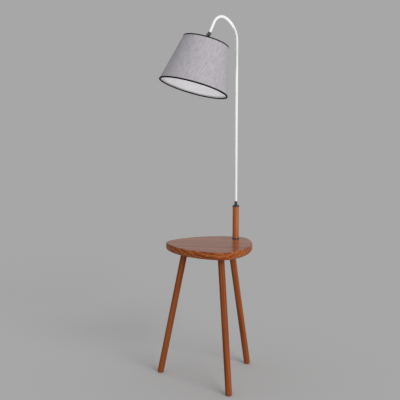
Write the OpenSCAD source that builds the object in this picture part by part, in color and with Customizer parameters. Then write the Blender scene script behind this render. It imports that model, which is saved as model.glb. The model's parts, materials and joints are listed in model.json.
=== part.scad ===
// Floor lamp with a side table: a three-cornered wooden table on three splayed
// dowel legs, a short wooden post, a white arched pole that turns on the post,
// and a tilting conical shade. Millimetres, +Z up. The origin lies on the floor,
// in the middle of the lamp's outline; +X runs from the table's centre to the post.

/* [Table top] */
// Height of the table's surface above the floor
table_h = 600; // [450:5:700]
// Thickness of the table top
top_t = 32; // [24:1:45]
// Distance from the table's centre to the centre of each rounded corner
corner_offset = 130; // [110:1:150]
// Radius of each rounded corner
corner_r = 75.5; // [65:0.5:100]
// Radius of the rounded upper edge
top_edge_r = 5; // [2:0.5:8]
// Width of the slope under the edge
under_slope_w = 6; // [2:0.5:10]
// Height of the slope under the edge
under_slope_h = 7; // [3:0.5:10]

/* [Legs] */
// Diameter of each leg
leg_d = 28; // [22:0.5:34]
// Distance from a corner of the table to the leg's axis, at the underside
leg_inset = 83.5; // [72:0.5:95]
// Angle of each leg from upright
leg_splay = 11.6; // [4:0.1:16]
// Length of the bevel at the foot
foot_bevel_l = 7; // [3:0.5:12]
// Depth of the bevel at the foot
foot_bevel_d = 5.5; // [2:0.5:7]
// Diameter of the bolt in the top of each leg
leg_bolt_d = 8; // [6:0.5:10]
// Depth of the bolt in the leg
leg_bolt_in_leg = 36; // [20:1:60]
// Length of the threaded insert in the table top
insert_l = 16; // [10:0.5:18]
// Wall of the threaded insert
insert_wall = 2; // [1:0.25:3]

/* [Post] */
// Distance from the table's corner to the post's axis
post_inset = 53.5; // [43.5:0.5:55.5]
// Diameter of the post
post_d = 28; // [22:0.5:34]
// Height of the table's surface to the cap's lower edge
post_bare_h = 145.5; // [80:0.5:260]
// Wall of the cap and of the ring at the foot of the post
collar_wall = 1.2; // [1:0.1:3]
// Height of the cap
cap_h = 6.5; // [5:0.5:20]
// Thickness of the cap's top
cap_plate_t = 2.5; // [1.5:0.25:4]
// Height of the ring at the foot of the post
base_ring_h = 6; // [3:0.5:15]

/* [Tie rod] */
// Diameter of the hollow rod through the post
rod_d = 10; // [8:0.5:10]
// Bore of the hollow rod
rod_bore = 7; // [6.5:0.1:7.2]
// Diameter of the washer under the table
tie_washer_d = 22; // [20:0.5:24]
// Thickness of the washer under the table
tie_washer_t = 1.6; // [1:0.1:3]
// Width across the flats of the nut under the table
tie_nut_w = 14; // [13:0.5:17]
// Height of the nut under the table
tie_nut_h = 5; // [3:0.5:8]
// Length of the rod below the nut
rod_tail_l = 3; // [2:0.5:6]
// Diameter of the cord bushing
bushing_d = 15; // [14:0.5:16]
// Length of the cord bushing below the rod
bushing_l = 8; // [5:0.5:15]
// Diameter of the cord hole in the bushing
cord_hole_d = 6.6; // [5.5:0.1:6.8]
// Diameter of the cable inside the lamp
cable_d = 5.6; // [3:0.1:6]

/* [Swivel] */
// Diameter of the coupling under the pole
coupling_d = 13; // [12.5:0.1:18]
// Height of the coupling
coupling_h = 17; // [12:0.5:25]
// Length of the rod inside the coupling
rod_in_coupling = 9; // [8:0.5:10]
// Thickness of the washer under the coupling
swivel_washer_t = 1; // [0.5:0.1:2]
// Length of the coupling's spigot inside the pole
spigot_l = 20; // [10:1:40]
// Diameter of the grub screw that rides in the rod's groove
grub_d = 3; // [2:0.25:3.5]
// Depth of the groove in the rod
groove_depth = 0.7; // [0.4:0.05:0.9]

/* [Pole] */
// Overall height of the lamp
lamp_h = 1574; // [1300:5:1800]
// Outer diameter of the pole
pole_d = 12; // [11.8:0.1:14]
// Wall of the pole
pole_wall = 1.5; // [1.2:0.1:1.6]
// Radius of the long first bend
first_bend_r = 108; // [80:1:140]
// Angle of the first bend
first_bend_angle = 64.4; // [50:0.1:75]
// Radius of the tight second bend
second_bend_r = 45; // [35:1:60]
// Angle of the second bend
second_bend_angle = 88.5; // [75:0.1:100]
// Straight length after the second bend
tail_l = 48; // [30:1:80]
// Turn of the arm from the line through the table's centre
arm_turn = 11.6; // [-90:0.1:90]

/* [Knuckle] */
// Diameter of the forked end piece
fork_d = 14; // [13:0.5:16]
// Width of the fork over its two flats
fork_w = 12.8; // [12:0.2:14]
// Width of the slot in the fork
fork_slot_w = 7.2; // [6.6:0.2:8]
// Thickness of the solid foot of the fork
fork_foot_t = 2.5; // [2:0.5:3]
// Distance from the pole's end to the pivot
pivot_reach = 10; // [9.5:0.5:18]
// Length of the fork's stem inside the pole
fork_stem_l = 16; // [8:1:30]
// Radius of the fork's rounded ends
fork_end_r = 5.5; // [5:0.5:6.5]
// Thickness of each friction washer
friction_washer_t = 1; // [0.5:0.1:1.5]
// Diameter of each friction washer
friction_washer_d = 10; // [8:0.5:11]
// Radius of the eye of the tongue
eye_r = 5.5; // [5:0.5:6]
// Diameter of the pivot bolt
pivot_bolt_d = 5; // [4:0.5:6]
// Diameter of the pivot bolt's head
bolt_head_d = 8.8; // [8:0.2:11]
// Height of the pivot bolt's head
bolt_head_h = 2.8; // [2:0.2:5]
// Diameter of the wing nut's hub
wing_hub_d = 10; // [8:0.5:12]
// Length of the wing nut's hub
wing_hub_l = 6; // [4:0.5:9]
// Span of the wing nut over both wings
wing_span = 28; // [18:0.5:29]
// Thickness of each wing
wing_t = 2.4; // [1.5:0.1:3]
// Length by which each wing stands past the hub, along the bolt
wing_rise = 4; // [2:0.5:7]
// Turn of the wings about the bolt
wing_turn = 110; // [0:1:180]

/* [Lamp holder] */
// Distance from the pivot to the holder's cap
cap_drop = 17; // [16.5:0.5:20]
// Distance from the holder's axis to the eye of the tongue
eye_offset = 4; // [0:0.5:5]
// Outer diameter of the holder
holder_d = 38.8; // [36:0.2:42]
// Height of the holder's cap
holder_cap_h = 23; // [18:0.5:30]
// Wall of the holder's cap
holder_cap_wall = 1.3; // [1:0.1:2]
// Radius of the cap's rounded shoulder
holder_cap_round = 8; // [4:0.5:10]
// Overlap of the cap on the holder's neck
neck_l = 5; // [3:0.5:8]
// Wall of the holder's skirt
holder_wall = 3.2; // [2:0.1:3.5]
// Height of the plain band above the flange
band_h = 4; // [2:0.5:8]
// Diameter of the flange that the shade hangs from
flange_d = 45; // [43.5:0.5:50]
// Thickness of the flange
flange_t = 2; // [1.5:0.1:4]
// Length of the skirt under the flange
skirt_l = 28; // [22:0.5:36]
// Height of the ring that clamps the shade
clamp_ring_h = 7.5; // [4:0.5:12]
// Diameter of the ring that clamps the shade
clamp_ring_d = 51; // [46:0.5:56]
// Thickness of the insulating core
core_t = 7; // [4:0.5:10]
// Wall of the threaded brass shell
shell_wall = 1; // [0.5:0.1:1.2]
// Length of the threaded brass shell
shell_l = 22; // [15:0.5:26]
// Height of the centre contact
contact_h = 2.4; // [1.5:0.1:4]
// Thickness of the tongue's round foot on the cap
tongue_foot_t = 2; // [1.5:0.5:2.5]
// Diameter of the tongue's round foot on the cap
tongue_foot_d = 22; // [16:0.5:22]
// Diameter of the stem that joins tongue and cap
tongue_stem_d = 9.8; // [8:0.2:10]

/* [Shade] */
// Tilt of the shade from upright
shade_tilt = 18.7; // [5:0.1:60]
// Distance from the pivot to the shade's upper rim
shade_drop = 32.4; // [28:0.1:40]
// Diameter of the fabric at the upper rim
shade_top_d = 197; // [150:1:240]
// Diameter of the fabric at the lower rim
shade_bottom_d = 297; // [240:1:340]
// Height of the shade
shade_h = 206.3; // [180:0.1:240]
// Thickness of the fabric
fabric_t = 0.8; // [0.5:0.1:1.5]
// Thickness of the white liner
liner_t = 0.5; // [0.3:0.1:1]
// Thickness of the edge tape
tape_t = 0.7; // [0.4:0.1:1.2]
// Width of the edge tape
tape_w = 5; // [3:0.5:10]
// Diameter of the ring wires and spokes
wire_d = 3; // [2:0.25:4]
// Number of spokes
spoke_count = 3; // [3:1:6]
// Turn of the spokes about the shade's axis
spoke_turn = 60; // [0:1:120]
// Diameter of the plate in the middle of the spokes
carrier_d = 52; // [47:0.5:58]
// Thickness of the plate in the middle of the spokes
carrier_t = 1.6; // [1:0.1:3]

/* [Bulb] */
// Diameter of the bulb's globe
globe_d = 60; // [45:1:80]
// Length of the bulb from its contact to its far end
bulb_l = 108; // [95:1:120]
// Diameter of the bulb's threaded base
bulb_base_d = 26.2; // [25.6:0.1:26.4]
// Length of the bulb's threaded base
bulb_base_l = 22; // [20:0.5:25]

/* [Clearances] */
// Radial clearance of each turning fit
running_gap = 0.06; // [0.02:0.01:0.09]
// Radial clearance of each fixed fit
fixed_gap = 0.1; // [0.05:0.01:0.2]
// Gap between flat faces that slide on each other
face_gap = 0.1; // [0.05:0.01:0.3]
// Gap between soft or free pieces and their seats
loose_gap = 0.3; // [0.2:0.05:0.4]

/* [Hidden] */
$fn = 96;
fine = 32;
cut = 1;
leg_count = 3;
leg_step = 360 / leg_count;
corner_sweep = 60;
corner_steps = 12;
side_steps = 16;
edge_steps = 3;
bend_steps = 9;
pole_sides = 24;
cable_sides = 10;
cable_r = cable_d / 2;

// Table
side_r = corner_offset * sqrt(3) + corner_r;
corner_reach = corner_offset + corner_r;
under_z = table_h - top_t;

// Legs
leg_r = leg_d / 2;
leg_top_x = corner_reach - leg_inset;
leg_foot_x = leg_top_x + under_z * tan(leg_splay);
leg_axis_l = under_z / cos(leg_splay);
foot_end_r = leg_r - foot_bevel_d;
foot_sink = foot_end_r * sin(leg_splay);
bolt_r = leg_bolt_d / 2;
bolt_hole_r = bolt_r + fixed_gap;
insert_r = bolt_hole_r + insert_wall;
insert_hole_r = insert_r + fixed_gap;

// Post and tie rod
post_x = corner_reach - post_inset;
post_r = post_d / 2;
collar_bore_r = post_r + fixed_gap;
collar_r = collar_bore_r + collar_wall;
cap_z = table_h + post_bare_h;
cap_top_z = cap_z + cap_h;
rod_r = rod_d / 2;
rod_hole_r = rod_r + fixed_gap;
rod_bore_r = rod_bore / 2;
coupling_z = cap_top_z + swivel_washer_t + face_gap;
coupling_top_z = coupling_z + coupling_h;
rod_top_z = coupling_z + rod_in_coupling;
tie_nut_z = under_z - tie_washer_t - tie_nut_h;
rod_bottom_z = tie_nut_z - rod_tail_l;
bushing_z = rod_bottom_z - bushing_l;
bushing_cup_h = rod_tail_l - face_gap;

// Swivel
coupling_r = coupling_d / 2;
coupling_bore_r = rod_r + running_gap;
pole_r = pole_d / 2;
pole_bore_r = pole_r - pole_wall;
spigot_r = pole_bore_r - fixed_gap;
cable_hole_r = cable_r + loose_gap;
grub_r = grub_d / 2;
grub_z = coupling_z + rod_in_coupling / 2;
groove_r = rod_r - groove_depth;
groove_h = grub_d + 2 * fixed_gap;
grub_tip_x = groove_r + fixed_gap;

// Pole: the bends lie in the arm's own X-Z plane, with the post's axis at X = 0
turn_one = first_bend_angle;
turn_both = first_bend_angle + second_bend_angle;
arch_peak_z = lamp_h - pole_r;
bend_z = arch_peak_z - first_bend_r * sin(turn_one) - second_bend_r * (1 - sin(turn_one));
mid = [first_bend_r * (1 - cos(turn_one)), bend_z + first_bend_r * sin(turn_one)];
second_centre = mid + second_bend_r * [cos(turn_one), -sin(turn_one)];
tail_start = second_centre + second_bend_r * [-cos(turn_both), sin(turn_both)];
tail_way = [sin(turn_both), cos(turn_both)];
pole_end = tail_start + tail_l * tail_way;
pivot = pole_end + pivot_reach * tail_way;

// Knuckle
fork_r = fork_d / 2;
fork_half = fork_w / 2;
tongue_half = fork_slot_w / 2 - friction_washer_t - 2 * face_gap;
pin_r = pivot_bolt_d / 2;
pin_hole_r = pin_r + running_gap;
nut_y = fork_half + face_gap;
bolt_tail_y = nut_y + wing_hub_l + wing_rise / 2;
tongue_foot_r = tongue_foot_d / 2;

// Lamp holder: distances run from the pivot down the shade's axis
holder_r = holder_d / 2;
cap_end = cap_drop + holder_cap_h;
neck_r = holder_r - holder_cap_wall - fixed_gap;
holder_bore_r = holder_r - holder_wall;
neck_bore_r = neck_r - holder_wall;
core_s = cap_end + band_h / 2;
core_end = core_s + core_t;
band_end = cap_end + band_h;
flange_end = band_end + flange_t;
skirt_end = flange_end + skirt_l;
skirt_r = holder_r - fixed_gap;
shell_r = holder_bore_r - fixed_gap - 2 * shell_wall;
shell_bore_r = shell_r - shell_wall;
contact_r = 4;
shell_hole_r = contact_r + 2;
tongue_stem_r = tongue_stem_d / 2;
cap_nut_h = 3;
cap_nut_w = 14;
screw_r = 1.5;
screw_head_r = 2.6;
screw_head_h = 1.8;
screw_x = 9;
lead_r = 1.1;
lead_x = 1.7;

// Shade
clamp_bore_r = skirt_r + fixed_gap;
carrier_s = flange_end;
carrier_end = carrier_s + carrier_t;
shade_end = shade_drop + shade_h;
rim_top_r = shade_top_d / 2;
rim_bottom_r = shade_bottom_d / 2;
shade_slope = atan((rim_bottom_r - rim_top_r) / shade_h);
slant_l = shade_h / cos(shade_slope);
wire_r = wire_d / 2;
wire_inset = fabric_t + liner_t + 2 * fixed_gap + wire_r;
wire_setback = tape_t + fixed_gap + wire_r;
wire_ring_r = rim_top_r - wire_inset * cos(shade_slope) + wire_setback * sin(shade_slope);
wire_ring_s = shade_drop + wire_inset * sin(shade_slope) + wire_setback * cos(shade_slope);

// Bulb
bulb_s = core_end + contact_h + face_gap;
bulb_base_r = bulb_base_d / 2;
bulb_tip_r = 4.5;
bulb_tip_h = 2;
bulb_insulator_h = 2;
base_s = bulb_s + bulb_tip_h;
base_end = base_s + bulb_insulator_h + bulb_base_l;
globe_r = globe_d / 2;
globe_s = bulb_s + bulb_l - globe_r;
glass_t = 1.2;
glass_neck_r = bulb_base_r - 1;

// The lamp's outline from above, which sets where the origin lies
arm_azimuth = 180 - arm_turn;
shade_way = [sin(shade_tilt), -cos(shade_tilt)];
rim_centre = pivot + shade_end * shade_way + eye_offset * [cos(shade_tilt), sin(shade_tilt)];
rim_reach = (rim_bottom_r + tape_t) * sqrt(1 - pow(shade_way[0] * cos(arm_azimuth), 2));
rim_x = post_x + rim_centre[0] * cos(arm_azimuth);
foot_reach = leg_foot_x + foot_sink * tan(leg_splay) - foot_bevel_l * sin(leg_splay) + leg_r * cos(leg_splay);
side_reach = side_r - corner_offset;
outline_max_x = max(foot_reach, rim_x + rim_reach);
outline_min_x = min(-side_reach, rim_x - rim_reach);
centre_x = -(outline_max_x + outline_min_x) / 2;

// ---- Places ----

module centred() {
  translate([centre_x, 0, 0]) children();
}

// Puts a leg's axis on Z, with Z = 0 at the table's underside and the foot below
module at_leg(azimuth) {
  centred()
    rotate([0, 0, azimuth])
      translate([leg_top_x, 0, under_z])
        rotate([0, -leg_splay, 0])
          children();
}

module on_post() {
  centred() translate([post_x, 0, 0]) children();
}

module in_arm() {
  on_post() rotate([0, 0, arm_azimuth]) children();
}

// Puts Z along the pole's last straight stretch, with Z = 0 at the pole's end
module at_pole_end() {
  in_arm()
    translate([pole_end[0], 0, pole_end[1]])
      rotate([0, turn_both, 0])
        children();
}

// Puts the pivot's axis on Z
module at_pivot() {
  at_pole_end() translate([0, 0, pivot_reach]) rotate([90, 0, 0]) children();
}

// Puts Z along the shade's tilt, with the pivot at the origin
module in_eye() {
  in_arm()
    translate([pivot[0], 0, pivot[1]])
      rotate([0, 180 - shade_tilt, 0])
        children();
}

// As in_eye(), but on the axis of the holder and the shade
module in_head() {
  in_eye() translate([-eye_offset, 0, 0]) children();
}

// ---- Shapes ----

module tube(outer_r, inner_r, h) {
  difference() {
    cylinder(r = outer_r, h = h);
    translate([0, 0, -cut]) cylinder(r = inner_r, h = h + 2 * cut);
  }
}

module hex_nut(across_flats, bore_r, h) {
  difference() {
    cylinder(d = across_flats / cos(30), h = h, $fn = 6);
    translate([0, 0, -cut]) cylinder(r = bore_r, h = h + 2 * cut);
  }
}

// Closed skin over a list of rings with equal point counts: capped at both ends,
// or joined from the last ring to the first
module skin(rings, closed_loop = false) {
  count = len(rings);
  sides = len(rings[0]);
  bands = closed_loop ? count : count - 1;
  walls = [
    for (i = [0 : bands - 1], j = [0 : sides - 1])
      let (
        a = i * sides + j,
        b = i * sides + (j + 1) % sides,
        c = ((i + 1) % count) * sides + (j + 1) % sides,
        d = ((i + 1) % count) * sides + j
      )
      each [[a, c, b], [a, d, c]]
  ];
  caps = closed_loop ? [] : [
    [for (j = [0 : sides - 1]) j],
    [for (j = [0 : sides - 1]) count * sides - 1 - j]
  ];
  polyhedron(points = [for (ring = rings) each ring], faces = concat(walls, caps));
}

// The table's outline, drawn in by an inset: a corner arc and a side arc for each leg
function table_ring(inset, z) = [
  for (k = [0 : leg_count - 1])
    let (
      azimuth = k * leg_step,
      corner = corner_offset * [cos(azimuth), sin(azimuth)],
      far_azimuth = azimuth + 2 * leg_step,
      far_corner = corner_offset * [cos(far_azimuth), sin(far_azimuth)],
      side_azimuth = azimuth + leg_step / 2
    )
    each concat(
      [
        for (i = [0 : corner_steps - 1])
          let (t = azimuth + corner_sweep * (i / corner_steps - 1 / 2))
          [corner[0] + (corner_r - inset) * cos(t), corner[1] + (corner_r - inset) * sin(t), z]
      ],
      [
        for (i = [0 : side_steps - 1])
          let (t = side_azimuth + corner_sweep * (i / side_steps - 1 / 2))
          [far_corner[0] + (side_r - inset) * cos(t), far_corner[1] + (side_r - inset) * sin(t), z]
      ]
    )
];

// Places along the pole, each with its distance out, height and turn from upright
function pole_stations(start_z, tail_length) = concat(
  [[0, start_z, 0]],
  [
    for (i = [0 : bend_steps])
      let (turn = turn_one * i / bend_steps)
      [first_bend_r * (1 - cos(turn)), bend_z + first_bend_r * sin(turn), turn]
  ],
  [
    for (i = [1 : bend_steps])
      let (turn = turn_one + second_bend_angle * i / bend_steps)
      [
        second_centre[0] - second_bend_r * cos(turn),
        second_centre[1] + second_bend_r * sin(turn),
        turn
      ]
  ],
  [[
    tail_start[0] + tail_length * tail_way[0],
    tail_start[1] + tail_length * tail_way[1],
    turn_both
  ]]
);

// Rings of a given radius square to the pole at those places
function pole_rings(r, sides, stations) = [
  for (place = stations)
    [
      for (j = [0 : sides - 1])
        let (t = 360 * j / sides)
        [
          place[0] + r * cos(t) * cos(place[2]),
          r * sin(t),
          place[1] - r * cos(t) * sin(place[2])
        ]
    ]
];

function reversed(list) = [for (i = [len(list) - 1 : -1 : 0]) list[i]];

// Puts X inward from the fabric's face and Y down along it, from the upper rim
module on_fabric() {
  translate([rim_top_r, shade_drop])
    rotate(180 - shade_slope)
      mirror([0, 1])
        children();
}

// As on_fabric(), but with Y up along the fabric from the lower rim
module on_fabric_below() {
  on_fabric() translate([0, slant_l]) mirror([0, 1]) children();
}

// Conical skin of the shade between two depths under its outer face
module shade_skin(outer_depth, thick) {
  edge = tape_t + fixed_gap;
  rotate_extrude($fn = 2 * $fn)
    on_fabric()
      translate([outer_depth, edge])
        square([thick, slant_l - 2 * edge]);
}

// Tape folded over a rim, with a hem inside the ring wire
module tape_section(hem) {
  inner_x = wire_inset + wire_r + fixed_gap;
  translate([-tape_t - fixed_gap, 0]) square([tape_t, tape_w]);
  translate([-tape_t - fixed_gap, 0]) square([inner_x + 2 * tape_t + fixed_gap, tape_t]);
  translate([inner_x, 0]) square([tape_t, hem]);
}

module wire_section() {
  translate([wire_inset, wire_setback]) circle(r = wire_r, $fn = fine);
}

// ---- Table ----

module table_top() {
  levels = concat(
    [[0, under_slope_w], [under_slope_h, 0]],
    [
      for (i = [0 : edge_steps])
        let (t = 90 * i / edge_steps)
        [top_t - top_edge_r * (1 - sin(t)), top_edge_r * (1 - cos(t))]
    ]
  );
  color("#a0694c")
    difference() {
      centred()
        skin([for (level = levels) table_ring(level[1], under_z + level[0])]);
      for (k = [0 : leg_count - 1])
        at_leg(k * leg_step)
          translate([0, 0, -insert_hole_r])
            cylinder(r = insert_hole_r, h = insert_hole_r + insert_l + loose_gap);
      on_post()
        translate([0, 0, under_z - cut])
          cylinder(r = rod_hole_r, h = top_t + 2 * cut);
    }
}

module leg(azimuth) {
  body_l = leg_axis_l + foot_sink / cos(leg_splay);
  color("#8a4f2c")
    difference() {
      at_leg(azimuth)
        difference() {
          union() {
            translate([0, 0, -body_l])
              cylinder(r1 = foot_end_r, r2 = leg_r, h = foot_bevel_l);
            translate([0, 0, foot_bevel_l - body_l])
              cylinder(r = leg_r, h = body_l - foot_bevel_l + leg_r);
          }
          translate([0, 0, -leg_bolt_in_leg])
            cylinder(r = bolt_hole_r, h = leg_bolt_in_leg + leg_d);
        }
      rotate([0, 0, azimuth])
        translate([0, 0, under_z + leg_d / 2])
          cube([2 * lamp_h, 2 * lamp_h, leg_d], center = true);
      translate([0, 0, -leg_d / 2])
        cube([2 * lamp_h, 2 * lamp_h, leg_d], center = true);
    }
}

module leg_front() {
  leg(-leg_step);
}

module leg_left() {
  leg(leg_step);
}

module leg_back() {
  leg(0);
}

module leg_bolts() {
  color("#8f9194")
    for (k = [0 : leg_count - 1])
      at_leg(k * leg_step)
        translate([0, 0, loose_gap - leg_bolt_in_leg])
          cylinder(r = bolt_r, h = leg_bolt_in_leg + insert_l - 2 * loose_gap);
}

module leg_inserts() {
  color("#b9a268")
    difference() {
      for (k = [0 : leg_count - 1])
        at_leg(k * leg_step)
          translate([0, 0, -insert_r])
            tube(insert_r, bolt_hole_r, insert_r + insert_l);
      translate([0, 0, under_z - leg_d / 2])
        cube([2 * lamp_h, 2 * lamp_h, leg_d], center = true);
    }
}

// ---- Post and tie rod ----

module post() {
  color("#a76744")
    on_post()
      translate([0, 0, table_h])
        tube(post_r, rod_hole_r, post_bare_h + cap_h - cap_plate_t);
}

module post_base_ring() {
  color("#1c1c1e")
    on_post()
      translate([0, 0, table_h])
        tube(collar_r, collar_bore_r, base_ring_h);
}

module post_cap() {
  color("#3a3c42")
    on_post()
      translate([0, 0, cap_z])
        difference() {
          cylinder(r = collar_r, h = cap_h);
          translate([0, 0, -cut])
            cylinder(r = collar_bore_r, h = cap_h - cap_plate_t + cut);
          cylinder(r = rod_hole_r, h = cap_h + cut);
        }
}

module tie_rod() {
  color("#8f9194")
    on_post()
      difference() {
        translate([0, 0, rod_bottom_z])
          tube(rod_r, rod_bore_r, rod_top_z - rod_bottom_z);
        translate([0, 0, grub_z - groove_h / 2])
          tube(rod_d, groove_r, groove_h);
      }
}

module tie_washer() {
  color("#8f9194")
    on_post()
      translate([0, 0, under_z - tie_washer_t])
        tube(tie_washer_d / 2, rod_hole_r, tie_washer_t);
}

module tie_nut() {
  color("#8f9194")
    on_post()
      translate([0, 0, tie_nut_z])
        hex_nut(tie_nut_w, rod_hole_r, tie_nut_h);
}

module cord_bushing() {
  color("#1c1c1e")
    on_post()
      translate([0, 0, bushing_z])
        difference() {
          cylinder(d = bushing_d, h = bushing_l + bushing_cup_h);
          translate([0, 0, -cut]) cylinder(d = cord_hole_d, h = bushing_l + 2 * cut);
          translate([0, 0, bushing_l]) cylinder(r = rod_hole_r, h = bushing_cup_h + cut);
        }
}

module cable_lower() {
  color("#d8d8d6")
    on_post()
      translate([0, 0, rod_bottom_z])
        cylinder(r = cable_r, h = rod_top_z - rod_bottom_z);
}

module swivel_washer() {
  color("#1c1c1e")
    on_post()
      translate([0, 0, cap_top_z])
        tube(coupling_r + fixed_gap, rod_hole_r, swivel_washer_t);
}

// ---- Arm ----

module pole_coupling() {
  color("#3a3c42")
    in_arm()
      difference() {
        union() {
          translate([0, 0, coupling_z]) cylinder(r = coupling_r, h = coupling_h);
          translate([0, 0, coupling_top_z]) cylinder(r = spigot_r, h = spigot_l);
        }
        translate([0, 0, coupling_z - cut])
          cylinder(r = coupling_bore_r, h = rod_in_coupling + face_gap + cut);
        translate([0, 0, coupling_z])
          cylinder(r = cable_hole_r, h = coupling_h + spigot_l + cut);
        translate([0, 0, grub_z])
          rotate([0, 90, 0])
            cylinder(r = grub_r + fixed_gap, h = coupling_d);
      }
}

module grub_screw() {
  color("#1c1c1e")
    in_arm()
      translate([grub_tip_x, 0, grub_z])
        rotate([0, 90, 0])
          cylinder(r = grub_r, h = coupling_r - loose_gap - grub_tip_x);
}

module pole_tube() {
  stations = pole_stations(coupling_top_z, tail_l);
  outside = pole_rings(pole_r, pole_sides, stations);
  inside = pole_rings(pole_bore_r, pole_sides, stations);
  color("#f2f2f0") in_arm() skin(concat(outside, reversed(inside)), closed_loop = true);
}

module cable_upper() {
  stations = pole_stations(rod_top_z + loose_gap, tail_l + fork_foot_t / 2);
  color("#d8d8d6") in_arm() skin(pole_rings(cable_r, cable_sides, stations));
}

module knuckle_fork() {
  color("#3a3c42")
    at_pole_end()
      difference() {
        union() {
          translate([0, 0, -fork_stem_l]) cylinder(r = spigot_r, h = fork_stem_l + cut);
          intersection() {
            cylinder(r = fork_r, h = pivot_reach + fork_end_r);
            translate([-fork_r, -fork_half, 0])
              cube([fork_d, fork_w, pivot_reach + fork_end_r]);
            union() {
              translate([-fork_r, -fork_half, 0]) cube([fork_d, fork_w, fork_foot_t]);
              translate([-fork_end_r, -fork_half, 0])
                cube([2 * fork_end_r, fork_w, pivot_reach]);
              translate([0, fork_half, pivot_reach])
                rotate([90, 0, 0]) cylinder(r = fork_end_r, h = fork_w);
            }
          }
        }
        translate([-fork_d, -fork_slot_w / 2, fork_foot_t])
          cube([2 * fork_d, fork_slot_w, pivot_reach + fork_d]);
        translate([0, 0, -fork_stem_l - cut])
          cylinder(r = cable_hole_r, h = fork_stem_l + fork_foot_t + 2 * cut);
        translate([0, fork_w, pivot_reach])
          rotate([90, 0, 0]) cylinder(r = pin_hole_r, h = 2 * fork_w);
      }
}

module knuckle_bolt() {
  color("#3a3c42")
    at_pivot() {
      translate([0, 0, -fork_half - bolt_head_h])
        cylinder(d1 = bolt_head_d - bolt_head_h, d2 = bolt_head_d, h = bolt_head_h / 2);
      translate([0, 0, -fork_half - bolt_head_h / 2])
        cylinder(d = bolt_head_d, h = bolt_head_h / 2);
      translate([0, 0, -fork_half])
        cylinder(r = pin_r, h = fork_half + bolt_tail_y);
    }
}

module friction_washers() {
  color("#8f9194")
    at_pivot()
      for (side = [-1, 1])
        translate([0, 0, side * (fork_slot_w / 2 - face_gap - friction_washer_t / 2)])
          translate([0, 0, -friction_washer_t / 2])
            tube(friction_washer_d / 2, pin_hole_r, friction_washer_t);
}

module wing_nut() {
  color("#1c1c1e")
    at_pivot()
      translate([0, 0, nut_y])
        rotate([0, 0, wing_turn])
          difference() {
            union() {
              cylinder(d = wing_hub_d, h = wing_hub_l);
              translate([-wing_span / 2, -wing_t / 2, wing_hub_l / 2])
                intersection() {
                  cube([wing_span, wing_t, wing_hub_l / 2 + wing_rise]);
                  translate([wing_span / 2, wing_t, wing_rise])
                    rotate([90, 0, 0]) cylinder(d = wing_span, h = 2 * wing_t);
                }
            }
            translate([0, 0, -cut])
              cylinder(r = pin_hole_r, h = wing_hub_l + wing_rise + 2 * cut);
          }
}

// ---- Head ----

module knuckle_tongue() {
  color("#3a3c42")
    difference() {
      union() {
        in_eye()
          translate([0, tongue_half, 0])
            rotate([90, 0, 0]) cylinder(r = eye_r, h = 2 * tongue_half);
        in_eye()
          translate([-eye_r, -tongue_half, 0])
            cube([2 * eye_r, 2 * tongue_half, cap_drop - tongue_foot_t + cut]);
        in_head()
          translate([0, 0, cap_drop - tongue_foot_t])
            cylinder(r = tongue_foot_r, h = tongue_foot_t);
        in_head()
          translate([0, 0, cap_drop])
            cylinder(r = tongue_stem_r, h = holder_cap_wall + cap_nut_h + cut);
      }
      in_eye()
        translate([0, eye_r, 0])
          rotate([90, 0, 0]) cylinder(r = pin_hole_r, h = 2 * eye_r);
      in_head()
        translate([0, 0, cap_drop - cut])
          cylinder(r = cable_hole_r, h = cap_nut_h + holder_cap_wall + 3 * cut);
    }
}

// Half section of the cap's outer or inner form, open below
module cap_section(r, round_r, top, bottom) {
  translate([0, top]) square([r - round_r, bottom - top]);
  translate([0, top + round_r]) square([r, bottom - top - round_r]);
  translate([r - round_r, top + round_r])
    intersection() {
      circle(r = round_r);
      translate([0, -round_r]) square(round_r);
    }
}

module holder_cap() {
  color("#1c1c1e")
    in_head()
      rotate_extrude()
        difference() {
          cap_section(holder_r, holder_cap_round, cap_drop, cap_end);
          cap_section(
            holder_r - holder_cap_wall, holder_cap_round - holder_cap_wall,
            cap_drop + holder_cap_wall, cap_end + cut
          );
          translate([0, cap_drop - cut]) square([tongue_stem_r + fixed_gap, holder_cap_h]);
        }
}

module holder_cap_nut() {
  color("#8f9194")
    in_head()
      translate([0, 0, cap_drop + holder_cap_wall])
        hex_nut(cap_nut_w, tongue_stem_r + fixed_gap, cap_nut_h);
}

module holder_body() {
  color("#1c1c1e")
    in_head()
      rotate_extrude()
        difference() {
          union() {
            translate([0, cap_end - neck_l]) square([neck_r, neck_l + cut]);
            translate([0, cap_end]) square([holder_r, band_h + cut]);
            translate([0, band_end]) square([flange_d / 2, flange_t]);
            translate([0, band_end]) square([skirt_r, flange_t + skirt_l]);
          }
          translate([0, cap_end - neck_l - cut]) square([neck_bore_r, skirt_end]);
          translate([0, core_s]) square([holder_bore_r, skirt_end]);
        }
}

module holder_core() {
  color("#e8e6df")
    in_head()
      difference() {
        translate([0, 0, core_s]) cylinder(r = holder_bore_r - fixed_gap, h = core_t);
        for (side = [-1, 1])
          translate([side * screw_x, 0, core_s - cut])
            cylinder(r = screw_r + fixed_gap, h = core_t - cut);
      }
}

module holder_shell() {
  color("#b9a268")
    in_head()
      translate([0, 0, core_end])
        difference() {
          cylinder(r = shell_r, h = shell_l);
          translate([0, 0, shell_wall]) cylinder(r = shell_bore_r, h = shell_l);
          translate([0, 0, -cut]) cylinder(r = shell_hole_r, h = shell_l);
        }
}

module holder_contact() {
  color("#b9a268")
    in_head()
      translate([0, 0, core_end])
        cylinder(r1 = contact_r, r2 = contact_r / 2, h = contact_h);
}

module terminal_screws() {
  color("#b9a268")
    in_head()
      for (side = [-1, 1])
        translate([side * screw_x, 0, core_s - screw_head_h]) {
          cylinder(r = screw_head_r, h = screw_head_h);
          translate([0, 0, screw_head_h - cut / 2])
            cylinder(r = screw_r, h = core_t - 2 * cut);
        }
}

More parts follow.
